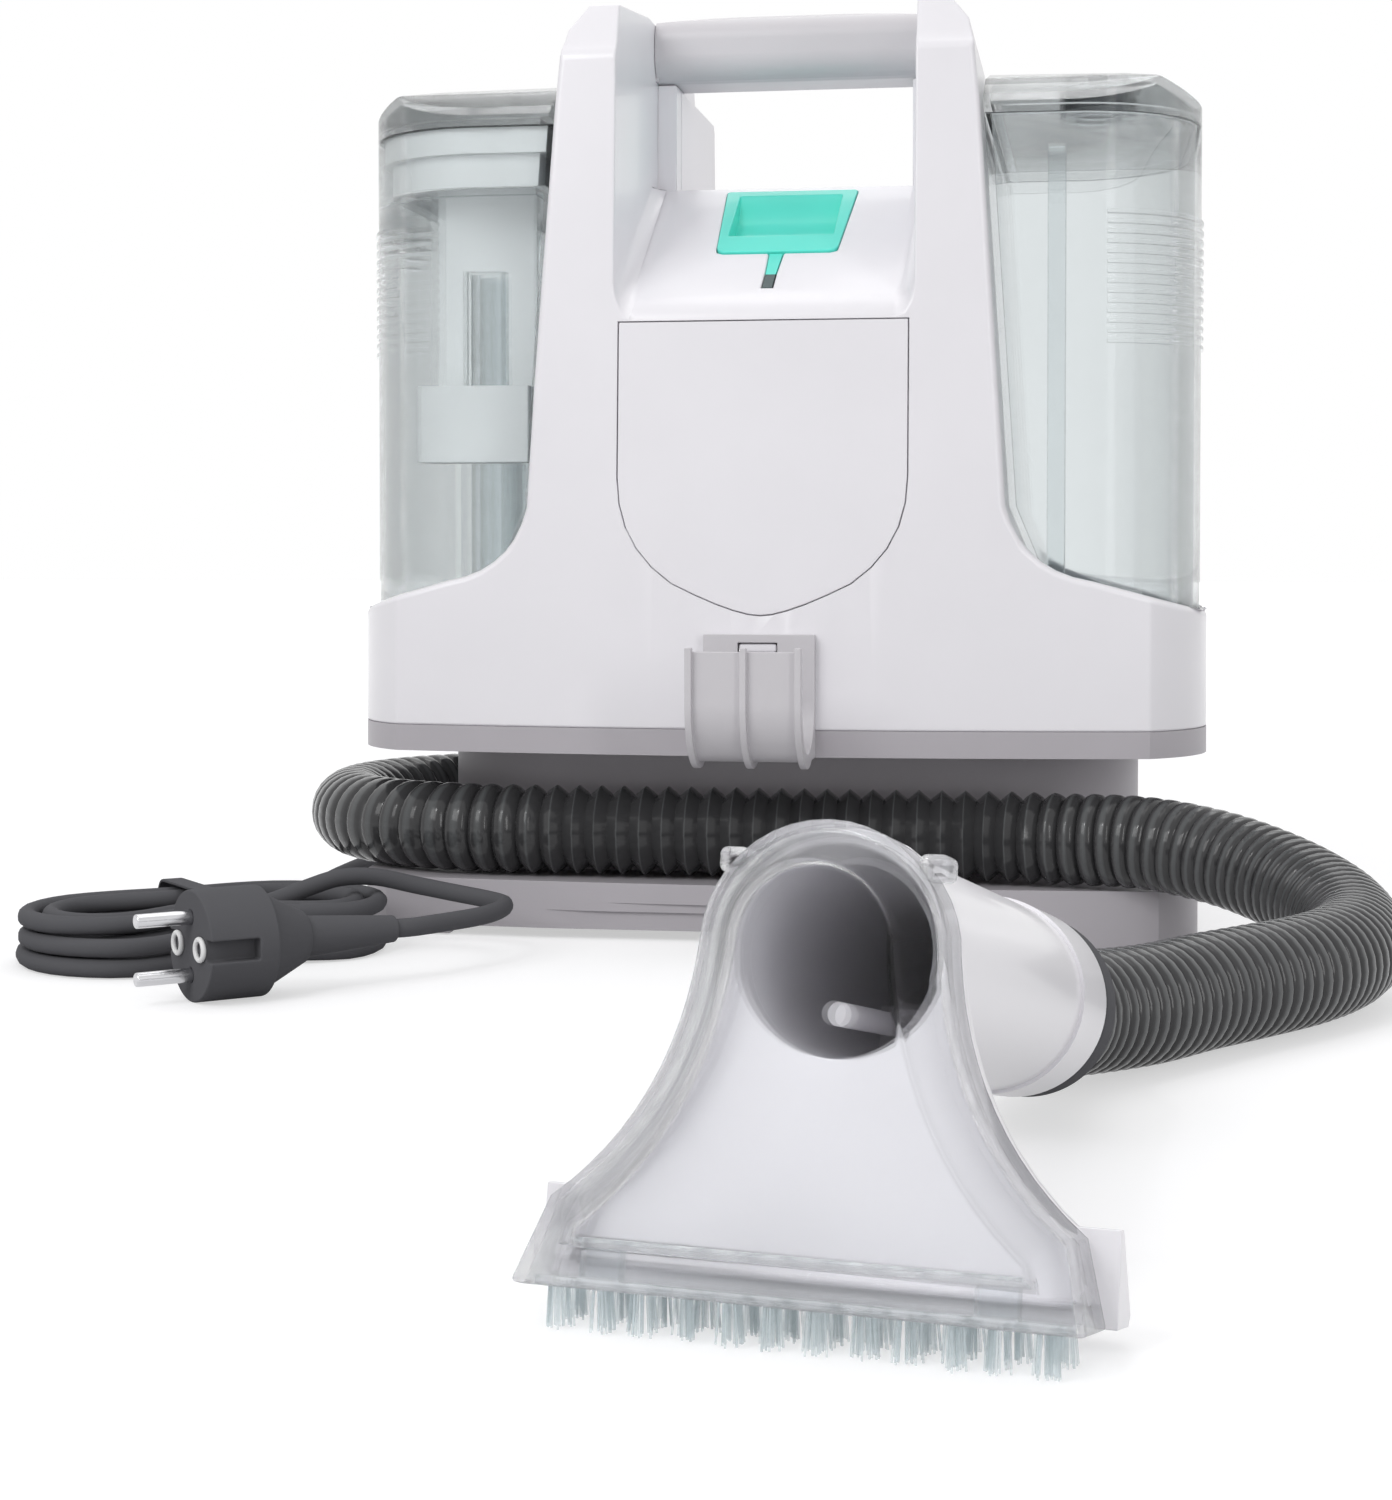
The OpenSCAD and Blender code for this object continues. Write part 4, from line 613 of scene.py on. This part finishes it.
def tank_clear():
    finish = bpy.context.scene.extractor_finish
    return clear_moulded("tank_clear", finish.clear, 0.03, 1.2, 0.60, edge=finish.clear_edge)


def lid_clear():
    finish = bpy.context.scene.extractor_finish
    tint = [0.62 * c for c in finish.clear[:3]]
    return clear_moulded("lid_clear", tint, 0.04, 1.2, 0.72,
        edge=[0.5 * c for c in finish.clear_edge[:3]])


def black_rubber():
    material = moulded("black_rubber", srgb(0.045, 0.045, 0.05), 0.24, 0.12, 1100.0, 0.04)
    material.node_tree.nodes["Principled BSDF"].inputs["Specular IOR Level"].default_value = 0.07
    return material


# ---- operators: one to each piece or group ----
def area(name, place, aim, size, power):
    """A soft square lamp that looks at a point."""
    clear_selection()
    bpy.ops.object.light_add(type="AREA", location=place)
    lamp = bpy.context.object
    lamp.name = name
    lamp.data.shape = "RECTANGLE"
    lamp.data.size, lamp.data.size_y = size
    lamp.data.energy = power
    lamp.rotation_euler = (Vector(aim) - Vector(place)).to_track_quat("-Z", "Y").to_euler()


class EXTRACTOR_OT_stage(bpy.types.Operator):
    """Camera, pale floor, soft studio lamps and a white surround"""
    bl_idname = "extractor.stage"
    bl_label = "Stage"

    def execute(self, context):
        context.scene.view_settings.view_transform = "Standard"
        clear_selection()
        bpy.ops.object.camera_add(location=(0.1304, -1.0755, 0.1476),
                                  rotation=(radians(88.5), 0, radians(9.1)))
        camera = context.object
        camera.name = "view_camera"
        camera.data.lens = 62.4
        camera.data.sensor_fit = "AUTO"
        camera.data.sensor_width = 36.0
        camera.data.shift_y = -0.0861
        camera.data.clip_end = 60
        context.scene.camera = camera

        clear_selection()
        bpy.ops.mesh.primitive_plane_add(size=24, location=(0, 0, 0))
        floor = named("floor")
        floor.data.materials.append(self.floor_finish())

        area("key", (-0.9, -1.5, 1.15), (0, 0, 0.16), (1.1, 0.9), 11.0)
        area("fill", (1.15, -1.5, 0.60), (0, 0, 0.15), (0.25, 1.0), 4.5)
        area("top", (0.1, 0.1, 1.7), (0, 0, 0.1), (1.4, 0.8), 4.0)
        area("back", (0.1, 1.3, 1.7), (0, 0, 0.15), (1.2, 0.7), 4.0)
        area("spark", (-0.5, -1.35, 1.40), (0.1, -0.3, 0.05), (0.16, 0.16), 2.2)
        self.surround(context)
        return {"FINISHED"}

    def floor_finish(self):
        """Pale floor that keeps shadows and fades to white with distance."""
        material = bpy.data.materials.new("floor_pale")
        material.use_nodes = True
        tree = material.node_tree
        shader = tree.nodes["Principled BSDF"]
        shader.inputs["Base Color"].default_value = (0.52, 0.52, 0.53, 1)
        shader.inputs["Roughness"].default_value = 0.7
        shader.inputs["Specular IOR Level"].default_value = 0.15
        place = tree.nodes.new("ShaderNodeTexCoord")
        far = tree.nodes.new("ShaderNodeVectorMath")
        far.operation = "LENGTH"
        link(tree, place, "Object", far, "Vector")
        fade = tree.nodes.new("ShaderNodeMapRange")
        fade.inputs["From Min"].default_value = 0.8
        fade.inputs["From Max"].default_value = 2.4
        fade.inputs["To Min"].default_value = 0.54
        fade.inputs["To Max"].default_value = 1.0
        link(tree, far, "Value", fade, "Value")
        seen = tree.nodes.new("ShaderNodeMath")
        seen.operation = "MULTIPLY"
        tree.links.new(fade.outputs["Result"], seen.inputs[0])
        tree.links.new(self.seen_ray(tree), seen.inputs[1])
        shader.inputs["Emission Color"].default_value = (1, 1, 1, 1)
        link(tree, seen, "Value", shader, "Emission Strength")
        return material

    def seen_ray(self, tree):
        """1 for a ray from the camera, from gloss or through clear plastic."""
        path = tree.nodes.new("ShaderNodeLightPath")
        total = path.outputs["Is Camera Ray"]
        for name in ("Is Glossy Ray", "Is Transmission Ray"):
            more = tree.nodes.new("ShaderNodeMath")
            more.operation = "MAXIMUM"
            tree.links.new(total, more.inputs[0])
            tree.links.new(path.outputs[name], more.inputs[1])
            total = more.outputs["Value"]
        return total

    def surround(self, context):
        """World light, and white where the camera, gloss and clear plastic see it."""
        world = bpy.data.worlds.new("surround")
        context.scene.world = world
        world.use_nodes = True
        tree = world.node_tree
        light = tree.nodes["Background"]
        light.inputs["Color"].default_value = (1.0, 1.0, 1.0, 1)
        level = tree.nodes.new("ShaderNodeMapRange")
        level.inputs["To Min"].default_value = 0.60
        level.inputs["To Max"].default_value = 1.0
        tree.links.new(self.seen_ray(tree), level.inputs["Value"])
        link(tree, level, "Result", light, "Strength")


class EXTRACTOR_OT_hose(bpy.types.Operator):
    """Ribbed suction hose round the base and out to the hand tool"""
    bl_idname = "extractor.hose"
    bl_label = "Suction Hose"

    def execute(self, context):
        form = context.scene.extractor_form
        run = smooth_run(hose_route(), 8)

        def spacing(walked):
            bent = max(0.0, min(1.0, (walked - 0.60) / 0.10))
            return form.rib_pitch + (form.rib_pitch_bent - form.rib_pitch) * bent, 1 / 8

        points, phases, walked = spaced(run, spacing)
        radii, rib_highlight_marks = [], []
        for i, phase in enumerate(phases):
            lying = max(0.0, min(1.0, (walked[i] - 0.36) / 0.06, (0.67 - walked[i]) / 0.06))
            depth = form.rib_depth * (0.28 + 0.72 * lying)
            depth *= min(1.0, i / 8, (len(phases) - 1 - i) / 8)
            flank = 1 - abs(2 * (phase % 1) - 1)
            bellied = 1 - (1 - flank * flank) ** 0.5
            straight = max(0.0, min(1.0, (walked[i] - 0.40) / 0.04, (0.64 - walked[i]) / 0.04))
            groove = bellied + (flank - bellied) * straight
            radii.append(17.3 * MM - depth * groove)
            # painted highlight mask: 1 on the rib crests, 0 at the bottom of the grooves
            rib_highlight_marks.append(1 - groove)
        piece = skin("hose_skin", points, radii, 28)
        rib = piece.data.attributes.new("rib", "FLOAT", "POINT")
        rib.data.foreach_set("value", [mark for mark in rib_highlight_marks for _ in range(28)])
        smooth(piece, 50)
        finish_piece(piece, "machine", "hose_grey", self.finish(context), "suction_hose")
        return {"FINISHED"}

    def finish(self, context):
        """Dark plastic with a painted highlight that makes it paler along the rib crests."""
        colour = context.scene.extractor_finish.hose
        material = moulded("hose_plastic", colour, 0.16, 0.08, 700.0, 0.03)
        tree = material.node_tree
        shader = tree.nodes["Principled BSDF"]
        shader.inputs["Specular IOR Level"].default_value = 0.30
        rib = tree.nodes.new("ShaderNodeAttribute")
        rib.attribute_name = "rib"
        painted_rib_highlight = tree.nodes.new("ShaderNodeMapRange")
        painted_rib_highlight.inputs["From Min"].default_value = 0.90
        painted_rib_highlight.inputs["To Max"].default_value = 0.60
        link(tree, rib, "Fac", painted_rib_highlight, "Value")
        # painted highlight: a paler grey mixed in on the rib crests, none in the grooves
        mix = tree.nodes.new("ShaderNodeMixRGB")
        mix.inputs["Color2"].default_value = srgb(0.38, 0.39, 0.395) + [1]
        ramp = next(n for n in tree.nodes if n.type == "VALTORGB")
        link(tree, painted_rib_highlight, "Result", mix, "Fac")
        link(tree, ramp, "Color", mix, "Color1")
        link(tree, mix, "Color", shader, "Base Color")
        return material


class EXTRACTOR_OT_mains_lead(bpy.types.Operator):
    """Mains lead with its tied hank and its plug"""
    bl_idname = "extractor.mains_lead"
    bl_label = "Mains Lead"

    def execute(self, context):
        rubber = black_rubber()
        run = mains_run()
        piece = skin("mains_lead_skin", run, [3.3 * MM] * len(run), 14)
        smooth(piece, 60)
        finish_piece(piece, "machine", "black_cord", rubber, "mains_lead", "cord_hank",
            "cord_tail")
        tie = self.tie(rubber)
        plug = softened("plug_body", 1.0, rubber)
        pins = softened("plug_pins", 0.6, metal("pin_steel", srgb(0.80, 0.80, 0.81), 0.22))
        collars = self.collars()
        return {"FINISHED"}

    def collars(self):
        """White collars round the feet of the pins."""
        rings = []
        for side in (-1, 1):
            clear_selection()
            bpy.ops.mesh.primitive_torus_add(location=(-0.7 * MM, side * PIN_X * MM, 0),
                rotation=(0, pi / 2, 0),
                                             major_radius=3.4 * MM, minor_radius=0.9 * MM,
                                             major_segments=28, minor_segments=10)
            ring = named("pin_collars")
            only(ring)
            bpy.ops.object.transform_apply(location=True, rotation=True, scale=True)
            rings.append(ring)
        only(*rings)
        bpy.ops.object.join()
        piece = bpy.context.object
        piece.name = "pin_collars"
        smooth(piece, 60)
        settled(piece,
            Matrix.Translation(Vector(PLUG_AT) * MM) @ Matrix.Rotation(radians(PLUG_TURN), 4, "Z"))
        white = moulded("collar_white", srgb(0.90, 0.90, 0.90), 0.35, 0.02, 900.0, 0.03)
        return finish_piece(piece, "machine", slot_of("front_shell"), white)

    def tie(self, rubber):
        """Flat strap round the waist of the hank."""
        clear_selection()
        bpy.ops.mesh.primitive_plane_add(size=1, rotation=(0, pi / 2, 0))
        piece = named("cord_tie_skin")
        only(piece)
        bpy.ops.object.transform_apply(location=False, rotation=True, scale=False)
        edit(piece)
        bpy.ops.transform.resize(value=(1, 75.6 * MM, 24.0 * MM))
        bpy.ops.transform.translate(value=(0, -4.2 * MM, 12.5 * MM))
        bpy.ops.mesh.bevel(offset=6 * MM, segments=8, affect="VERTICES")
        bpy.ops.mesh.select_all(action="SELECT")
        bpy.ops.mesh.delete(type="ONLY_FACE")
        bpy.ops.mesh.select_all(action="SELECT")
        bpy.ops.mesh.extrude_region_move(TRANSFORM_OT_translate={"value": (8 * MM, 0, 0)})
        bpy.ops.mesh.select_all(action="SELECT")
        bpy.ops.transform.translate(value=(-4 * MM, 0, 0))
        bpy.ops.mesh.normals_make_consistent(inside=False)
        done()
        wall = piece.modifiers.new("wall", "SOLIDIFY")
        wall.thickness = 1.1 * MM
        wall.offset = -1
        apply_all(piece)
        bevelled(piece, 0.4, 40, 2)
        settled(piece, Matrix.Translation(Vector((*HANK_AT, 0)) * MM)
                @ Matrix.Rotation(radians(HANK_TURN), 4, "Z"))
        return finish_piece(piece, "machine", "black_cord", rubber, "cord_tie")


class EXTRACTOR_OT_shells(bpy.types.Operator):
    """White front and rear shells with their posts"""
    bl_idname = "extractor.shells"
    bl_label = "Shells"

    def execute(self, context):
        form = context.scene.extractor_form
        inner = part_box("front_cover")[1][0] + COVER_JOINT * MM
        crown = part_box("front_shell")[1][2] - CROWN_H * MM

        def outline(edge):
            return all(v.co.y < -FRONT_HALF * MM and POST_FOOT * MM < v.co.z < crown
                       and abs(v.co.x) > inner
                       for v in edge.verts)

        low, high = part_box("front_cover")

        def apart(edge):
            """Not an edge of the cover's recess, which stays a fine joint."""
            return not all(abs(v.co.x) < inner and v.co.y < -RECESS_Y * MM
                           and low[2] - 2 * MM < v.co.z < high[2] + 1 * MM for v in edge.verts)

        for node in ("front_shell", "rear_shell"):
            piece = copied(node, 3e-4)
            rounded(piece, form.post_edge, outline, segments=4)
            rounded(piece, form.shell_edge, apart)
            smooth(piece)
            finish_piece(piece, body_of(node), slot_of(node), shell_white(), node)
        return {"FINISHED"}


class EXTRACTOR_OT_front(bpy.types.Operator):
    """Front cover, power button and the light guide under it"""
    bl_idname = "extractor.front"
    bl_label = "Front Cover"

    def execute(self, context):
        softened("front_cover", 0.35, shell_white())
        aqua = moulded("button_aqua", context.scene.extractor_finish.button, 0.34, 0.02, 900.0,
            0.03, 0.2)
        softened("power_button", 1.1, aqua)
        softened("light_guide", 0.3, self.guide_finish(context))
        return {"FINISHED"}

    def guide_finish(self, context):
        """Aqua down to the foot of the guide, where a dark window stands over its lamp."""
        material = moulded("guide_aqua", context.scene.extractor_finish.button, 0.30, 0.02, 900.0,
            0.03, 0.2)
        tree = material.node_tree
        place = next(n for n in tree.nodes if n.type == "TEX_COORD")
        ramp = next(n for n in tree.nodes if n.type == "VALTORGB")
        split = tree.nodes.new("ShaderNodeSeparateXYZ")
        link(tree, place, "Object", split, "Vector")
        above = tree.nodes.new("ShaderNodeMapRange")
        above.inputs["From Min"].default_value = GUIDE_FOOT * MM
        above.inputs["From Max"].default_value = (GUIDE_FOOT + 0.3) * MM
        link(tree, split, "Z", above, "Value")
        mix = tree.nodes.new("ShaderNodeMixRGB")
        mix.inputs["Color1"].default_value = srgb(0.16, 0.26, 0.26) + [1]
        link(tree, above, "Result", mix, "Fac")
        link(tree, ramp, "Color", mix, "Color2")
        link(tree, mix, "Color", tree.nodes["Principled BSDF"], "Base Color")
        return material


class EXTRACTOR_OT_base(bpy.types.Operator):
    """Grey base, skirt band, feet, hose port and cord gland"""
    bl_idname = "extractor.base"
    bl_label = "Base"

    def execute(self, context):
        small = context.scene.extractor_form.small_edge
        softened("base_pan", 1.2, base_grey())
        softened("skirt_band", small, base_grey())
        softened("hose_port", 0.6, base_grey())
        softened("exhaust_grille", 0.5, base_grey())
        softened("cord_gland", 0.4, black_rubber())
        softened("rubber_feet", 0.5, black_rubber())
        return {"FINISHED"}


class EXTRACTOR_OT_handle(bpy.types.Operator):
    """Carrying handle between the posts"""
    bl_idname = "extractor.handle"
    bl_label = "Handle"

    def execute(self, context):
        softened("handle_bar", 1.5, handle_grey())
        return {"FINISHED"}


class EXTRACTOR_OT_hook(bpy.types.Operator):
    """Hook that holds the hand tool"""
    bl_idname = "extractor.hook"
    bl_label = "Tool Hook"

    def execute(self, context):
        softened("tool_hook", context.scene.extractor_form.small_edge, handle_grey())
        low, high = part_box("tool_hook")
        clear_selection()
        bpy.ops.mesh.primitive_cube_add(size=1,
            location=(-0.5 * MM, high[1] - TAB_IN * MM, low[2] + TAB_UP * MM),
                                        scale=(14.6 * MM, 1.6 * MM, 3.6 * MM))
        tab = named("hook_tab")
        only(tab)
        bpy.ops.object.transform_apply(location=True, rotation=True, scale=True)
        edit(tab)
        pick_faces(tab, lambda c, n: n.y < -0.9)
        bpy.ops.mesh.inset(thickness=0.7 * MM, depth=-0.4 * MM)
        done()
        bevelled(tab, 0.2, 30, 2)
        dark = moulded("tab_dark", srgb(0.20, 0.20, 0.21), 0.40, 0.05, 900.0, 0.05)
        finish_piece(tab, body_of("tool_hook"), slot_of("tool_hook"), dark)
        return {"FINISHED"}


class EXTRACTOR_OT_tanks(bpy.types.Operator):
    """Clear tanks with their lids, latch and pipe stack, and what shows through them"""
    bl_idname = "extractor.tanks"
    bl_label = "Tanks"

    def execute(self, context):
        clear = tank_clear()
        for node in ("dirty_tank", "clean_tank"):
            softened(node, 0.5, clear, 40, 2)
        for node in ("dirty_lid", "clean_lid"):
            softened(node, 1.0, lid_clear(), 30, 2)
        softened("lid_latch", 0.5, clear)
        softened("pipe_stack", 0.4, clear, 40, 2)
        white = moulded("inner_white", srgb(0.95, 0.955, 0.955), 0.38, 0.02, 1000.0, 0.03, 0.1,
            0.05)
        for node in ("separator", "float_guide", "float", "valve_body"):
            softened(node, 0.7, white)
        softened("filler_cap", 0.7, handle_grey())
        return {"FINISHED"}


def bell_side(t):
    """Half outline of the nozzle from its foot to the top of its arch, inset by t."""
    arch = GRIP_R + 1.5
    side = [(MOUTH_W / 2 - t, 0.0)]
    a, b, c = (MOUTH_W / 2 - 4 - t, 16), (arch + 3 - t, 34), (arch - t, ARCH_Z)
    for i in range(13):
        s = i / 12
        side.append(tuple((1 - s)**2 * a[k] + 2 * s * (1 - s) * b[k] + s * s * c[k]
            for k in (0, 1)))
    for angle in range(9, 91, 9):
        side.append(((arch - t) * cos(radians(angle)), ARCH_Z + (arch - t) * sin(radians(angle))))
    return side


class EXTRACTOR_OT_hand_tool(bpy.types.Operator):
    """Hand tool: clear nozzle, white back and grip, trigger and cuff"""
    bl_idname = "extractor.hand_tool"
    bl_label = "Hand Tool"

    def execute(self, context):
        small = context.scene.extractor_form.small_edge
        self.nozzle(context)
        for node in ("nozzle_back", "tool_grip"):
            softened(node, small, shell_white())
        softened("trigger", small, handle_grey())
        softened("spray_jet", 0.4, handle_grey())
        softened("tool_cuff", small, black_rubber())
        return {"FINISHED"}

    def nozzle(self, context):
        """Bell outline drawn out, its front panel raised, and its back and mouth left open."""
        half = bell_side(0)
        outline = half + [(-x, z) for x, z in reversed(half[:-1])]
        mesh = bpy.data.meshes.new("nozzle_cover_skin")
        mesh.from_pydata([Vector((x, NOZZLE_D, z)) * MM for x, z in outline], [],
                         [list(range(len(outline)))])
        piece = bpy.data.objects.new("nozzle_cover_skin", mesh)
        context.scene.collection.objects.link(piece)
        edit(piece)
        bpy.ops.mesh.extrude_region_move(
            TRANSFORM_OT_translate={"value": (0, (RIM - NOZZLE_D) * MM, 0)})
        bpy.ops.mesh.select_all(action="SELECT")
        bpy.ops.mesh.normals_make_consistent(inside=False)
        pick_faces(piece, lambda c, n: n.y < -0.9)
        bpy.ops.mesh.inset(thickness=7 * MM, depth=(RIM - 0.8) * MM)
        bpy.ops.mesh.inset(thickness=1.2 * MM, depth=2.6 * MM)
        done()
        for vertex in piece.data.vertices:
            if vertex.co.z < 0.1 * MM and abs(vertex.co.y - RIM * MM) < 0.1 * MM:
                vertex.co.y = 0.0
        bpy.ops.object.mode_set(mode="EDIT")
        pick_faces(piece, lambda c, n: n.y > 0.9 or (n.z < -0.9 and c.z < 1 * MM))
        bpy.ops.mesh.delete(type="FACE")
        done()
        wall = piece.modifiers.new("wall", "SOLIDIFY")
        wall.thickness = 2 * MM
        wall.offset = -1
        wall.use_even_offset = True
        apply_all(piece)
        bevelled(piece, 0.7, 40, 3)
        for side in (-1, 1):
            clear_selection()
            bpy.ops.mesh.primitive_cube_add(size=1,
                location=(side * 20 * MM, (NOZZLE_D - 4.5) * MM,
                                                              (ARCH_Z + 16.5) * MM),
                                            scale=(6 * MM, 9 * MM, 5 * MM))
            ear = named("ear")
            bevelled(ear, 1.4, 30, 3)
            only(piece, ear)
            bpy.ops.object.join()
        settled(piece, tool_place())
        clear = clear_moulded("nozzle_clear", srgb(0.95, 0.955, 0.96), 0.04, 1.2, 0.60,
                              edge=srgb(0.16, 0.18, 0.19))
        finish_piece(piece, "machine", "clear_tank", clear, "nozzle_cover")


class EXTRACTOR_OT_brush(bpy.types.Operator):
    """Brush under the nozzle: a clear plate and tufts of fine filaments"""
    bl_idname = "extractor.brush"
    bl_label = "Brush"

    def execute(self, context):
        softened("brush_plate", 0.4, clear_moulded("brush_clear", srgb(0.93, 0.955, 0.96), 0.08,
            1.25, 0.5,
                                                        edge=srgb(0.45, 0.50, 0.52)))
        upright = (Matrix.Translation(Vector((*TOOL_AT, 0)) * MM)
                   @ Matrix.Rotation(radians(TOOL_YAW), 4, "Z"))
        toss = random.Random(7)
        points, faces = [], []
        pitch = (MOUTH_W - 16) / 11
        for i in range(12):
            for k in (0, 1):
                self.tuft(context, points, faces, upright, toss,
                          -MOUTH_W / 2 + 8 + i * pitch + k * 1.5, 5.2 + k * 7)
        mesh = bpy.data.meshes.new("bristle_tufts")
        mesh.from_pydata(points, [], faces)
        piece = bpy.data.objects.new("bristle_tufts", mesh)
        context.scene.collection.objects.link(piece)
        smooth(piece, 80)
        nylon = clear_moulded("nylon", srgb(0.93, 0.965, 0.975), 0.20, 1.2, 0.42, 0.03, 0.5)
        finish_piece(piece, "machine", "bristle", nylon, "bristles")
        return {"FINISHED"}

    def tuft(self, context, points, faces, upright, toss, x, y):
        """One tuft: thin filaments that spread a little towards the floor."""
        for _ in range(context.scene.extractor_form.filaments):
            angle, reach = toss.uniform(0, 2 * pi), 2.4 * toss.uniform(0, 1) ** 0.5
            top = Vector((x + reach * cos(angle), y + reach * sin(angle),
                          MOUTH_Z - 0.4 - (y * sin(radians(TOOL_TILT)))))
            foot = Vector((x + 1.3 * reach * cos(angle), y + 1.3 * reach * sin(angle),
                           0.3 + 0.9 * toss.uniform(0, 1)))
            start = len(points)
            for j, (centre, r) in enumerate(((top, 0.34), (foot, 0.24))):
                for k in range(5):
                    a = 2 * pi * k / 5
                    points.append(upright @ ((centre + Vector((r * cos(a), r * sin(a), 0))) * MM))
            for k in range(5):
                n = (k + 1) % 5
                faces.append((start + k, start + 5 + k, start + 5 + n, start + n))
            faces.append(tuple(start + k for k in range(5)))
            faces.append(tuple(start + 9 - k for k in range(5)))


class EXTRACTOR_OT_inner_works(bpy.types.Operator):
    """Finish of the motor, pump, ducts and other carried-over pieces"""
    bl_idname = "extractor.inner_works"
    bl_label = "Inner Works"

    def execute(self, context):
        steel = metal("bright_steel", srgb(0.74, 0.74, 0.75), 0.28)
        cast = metal("cast_metal", srgb(0.52, 0.53, 0.55), 0.45, (1.0, 1.0, 1.0))
        rubber = black_rubber()
        dark = moulded("dark_plastic", srgb(0.16, 0.16, 0.17), 0.40, 0.05, 900.0, 0.06)
        board = moulded("board_green", srgb(0.12, 0.36, 0.24), 0.35, 0.10, 500.0, 0.05)
        soft = moulded("seal_rubber", srgb(0.25, 0.26, 0.27), 0.50, 0.06, 900.0, 0.06)
        tube = clear_moulded("tube_clear", srgb(0.90, 0.92, 0.92), 0.15)
        for material, nodes in (
                (steel, ("base_screws", "shell_bolts", "button_spring", "motor_bearings",
                         "valve_stem")),
                (cast, ("suction_motor", "impeller")),
                (rubber, ("motor_mount", "port_gaskets", "valve_plunger")),
                (soft, ("dirty_lid_seal", "clean_lid_seal")),
                (dark, ("power_switch", "water_pump")),
                (board, ("control_board",)),
                (tube, ("water_line",)),
                (handle_grey(), ("fan_housing", "air_duct", "dirty_duct", "fan_tray",
                                 "spray_valve"))):
            for node in nodes:
                repaint(node, material)
        return {"FINISHED"}


class EXTRACTOR_PT_panel(bpy.types.Panel):
    """Settings and steps of the spot extractor"""
    bl_label = "Spot Extractor"
    bl_space_type = "VIEW_3D"
    bl_region_type = "UI"
    bl_category = "Extractor"

    def draw(self, context):
        for group in (context.scene.extractor_finish, context.scene.extractor_form):
            column = self.layout.column(align=True)
            for key in group.bl_rna.properties.keys():
                if key not in ("rna_type", "name"):
                    column.prop(group, key)
        for step in STEPS:
            self.layout.operator(step.bl_idname)


STEPS = (EXTRACTOR_OT_stage, EXTRACTOR_OT_hand_tool, EXTRACTOR_OT_hose, EXTRACTOR_OT_mains_lead,
         EXTRACTOR_OT_shells, EXTRACTOR_OT_front, EXTRACTOR_OT_base, EXTRACTOR_OT_handle,
         EXTRACTOR_OT_hook, EXTRACTOR_OT_tanks, EXTRACTOR_OT_brush, EXTRACTOR_OT_inner_works)
CLASSES = (ExtractorFinish, ExtractorForm) + STEPS + (EXTRACTOR_PT_panel,)


def register():
    for item in CLASSES:
        bpy.utils.register_class(item)
    bpy.types.Scene.extractor_finish = bpy.props.PointerProperty(type=ExtractorFinish)
    bpy.types.Scene.extractor_form = bpy.props.PointerProperty(type=ExtractorForm)


def unregister():
    del bpy.types.Scene.extractor_form
    del bpy.types.Scene.extractor_finish
    for item in reversed(CLASSES):
        bpy.utils.unregister_class(item)


def main():
    register()
    bpy.ops.extractor.stage()
    bpy.ops.extractor.hand_tool()
    bpy.ops.extractor.hose()
    bpy.ops.extractor.mains_lead()
    bpy.ops.extractor.shells()
    bpy.ops.extractor.front()
    bpy.ops.extractor.base()
    bpy.ops.extractor.handle()
    bpy.ops.extractor.hook()
    bpy.ops.extractor.tanks()
    bpy.ops.extractor.brush()
    bpy.ops.extractor.inner_works()


if __name__ == "__main__":
    main()
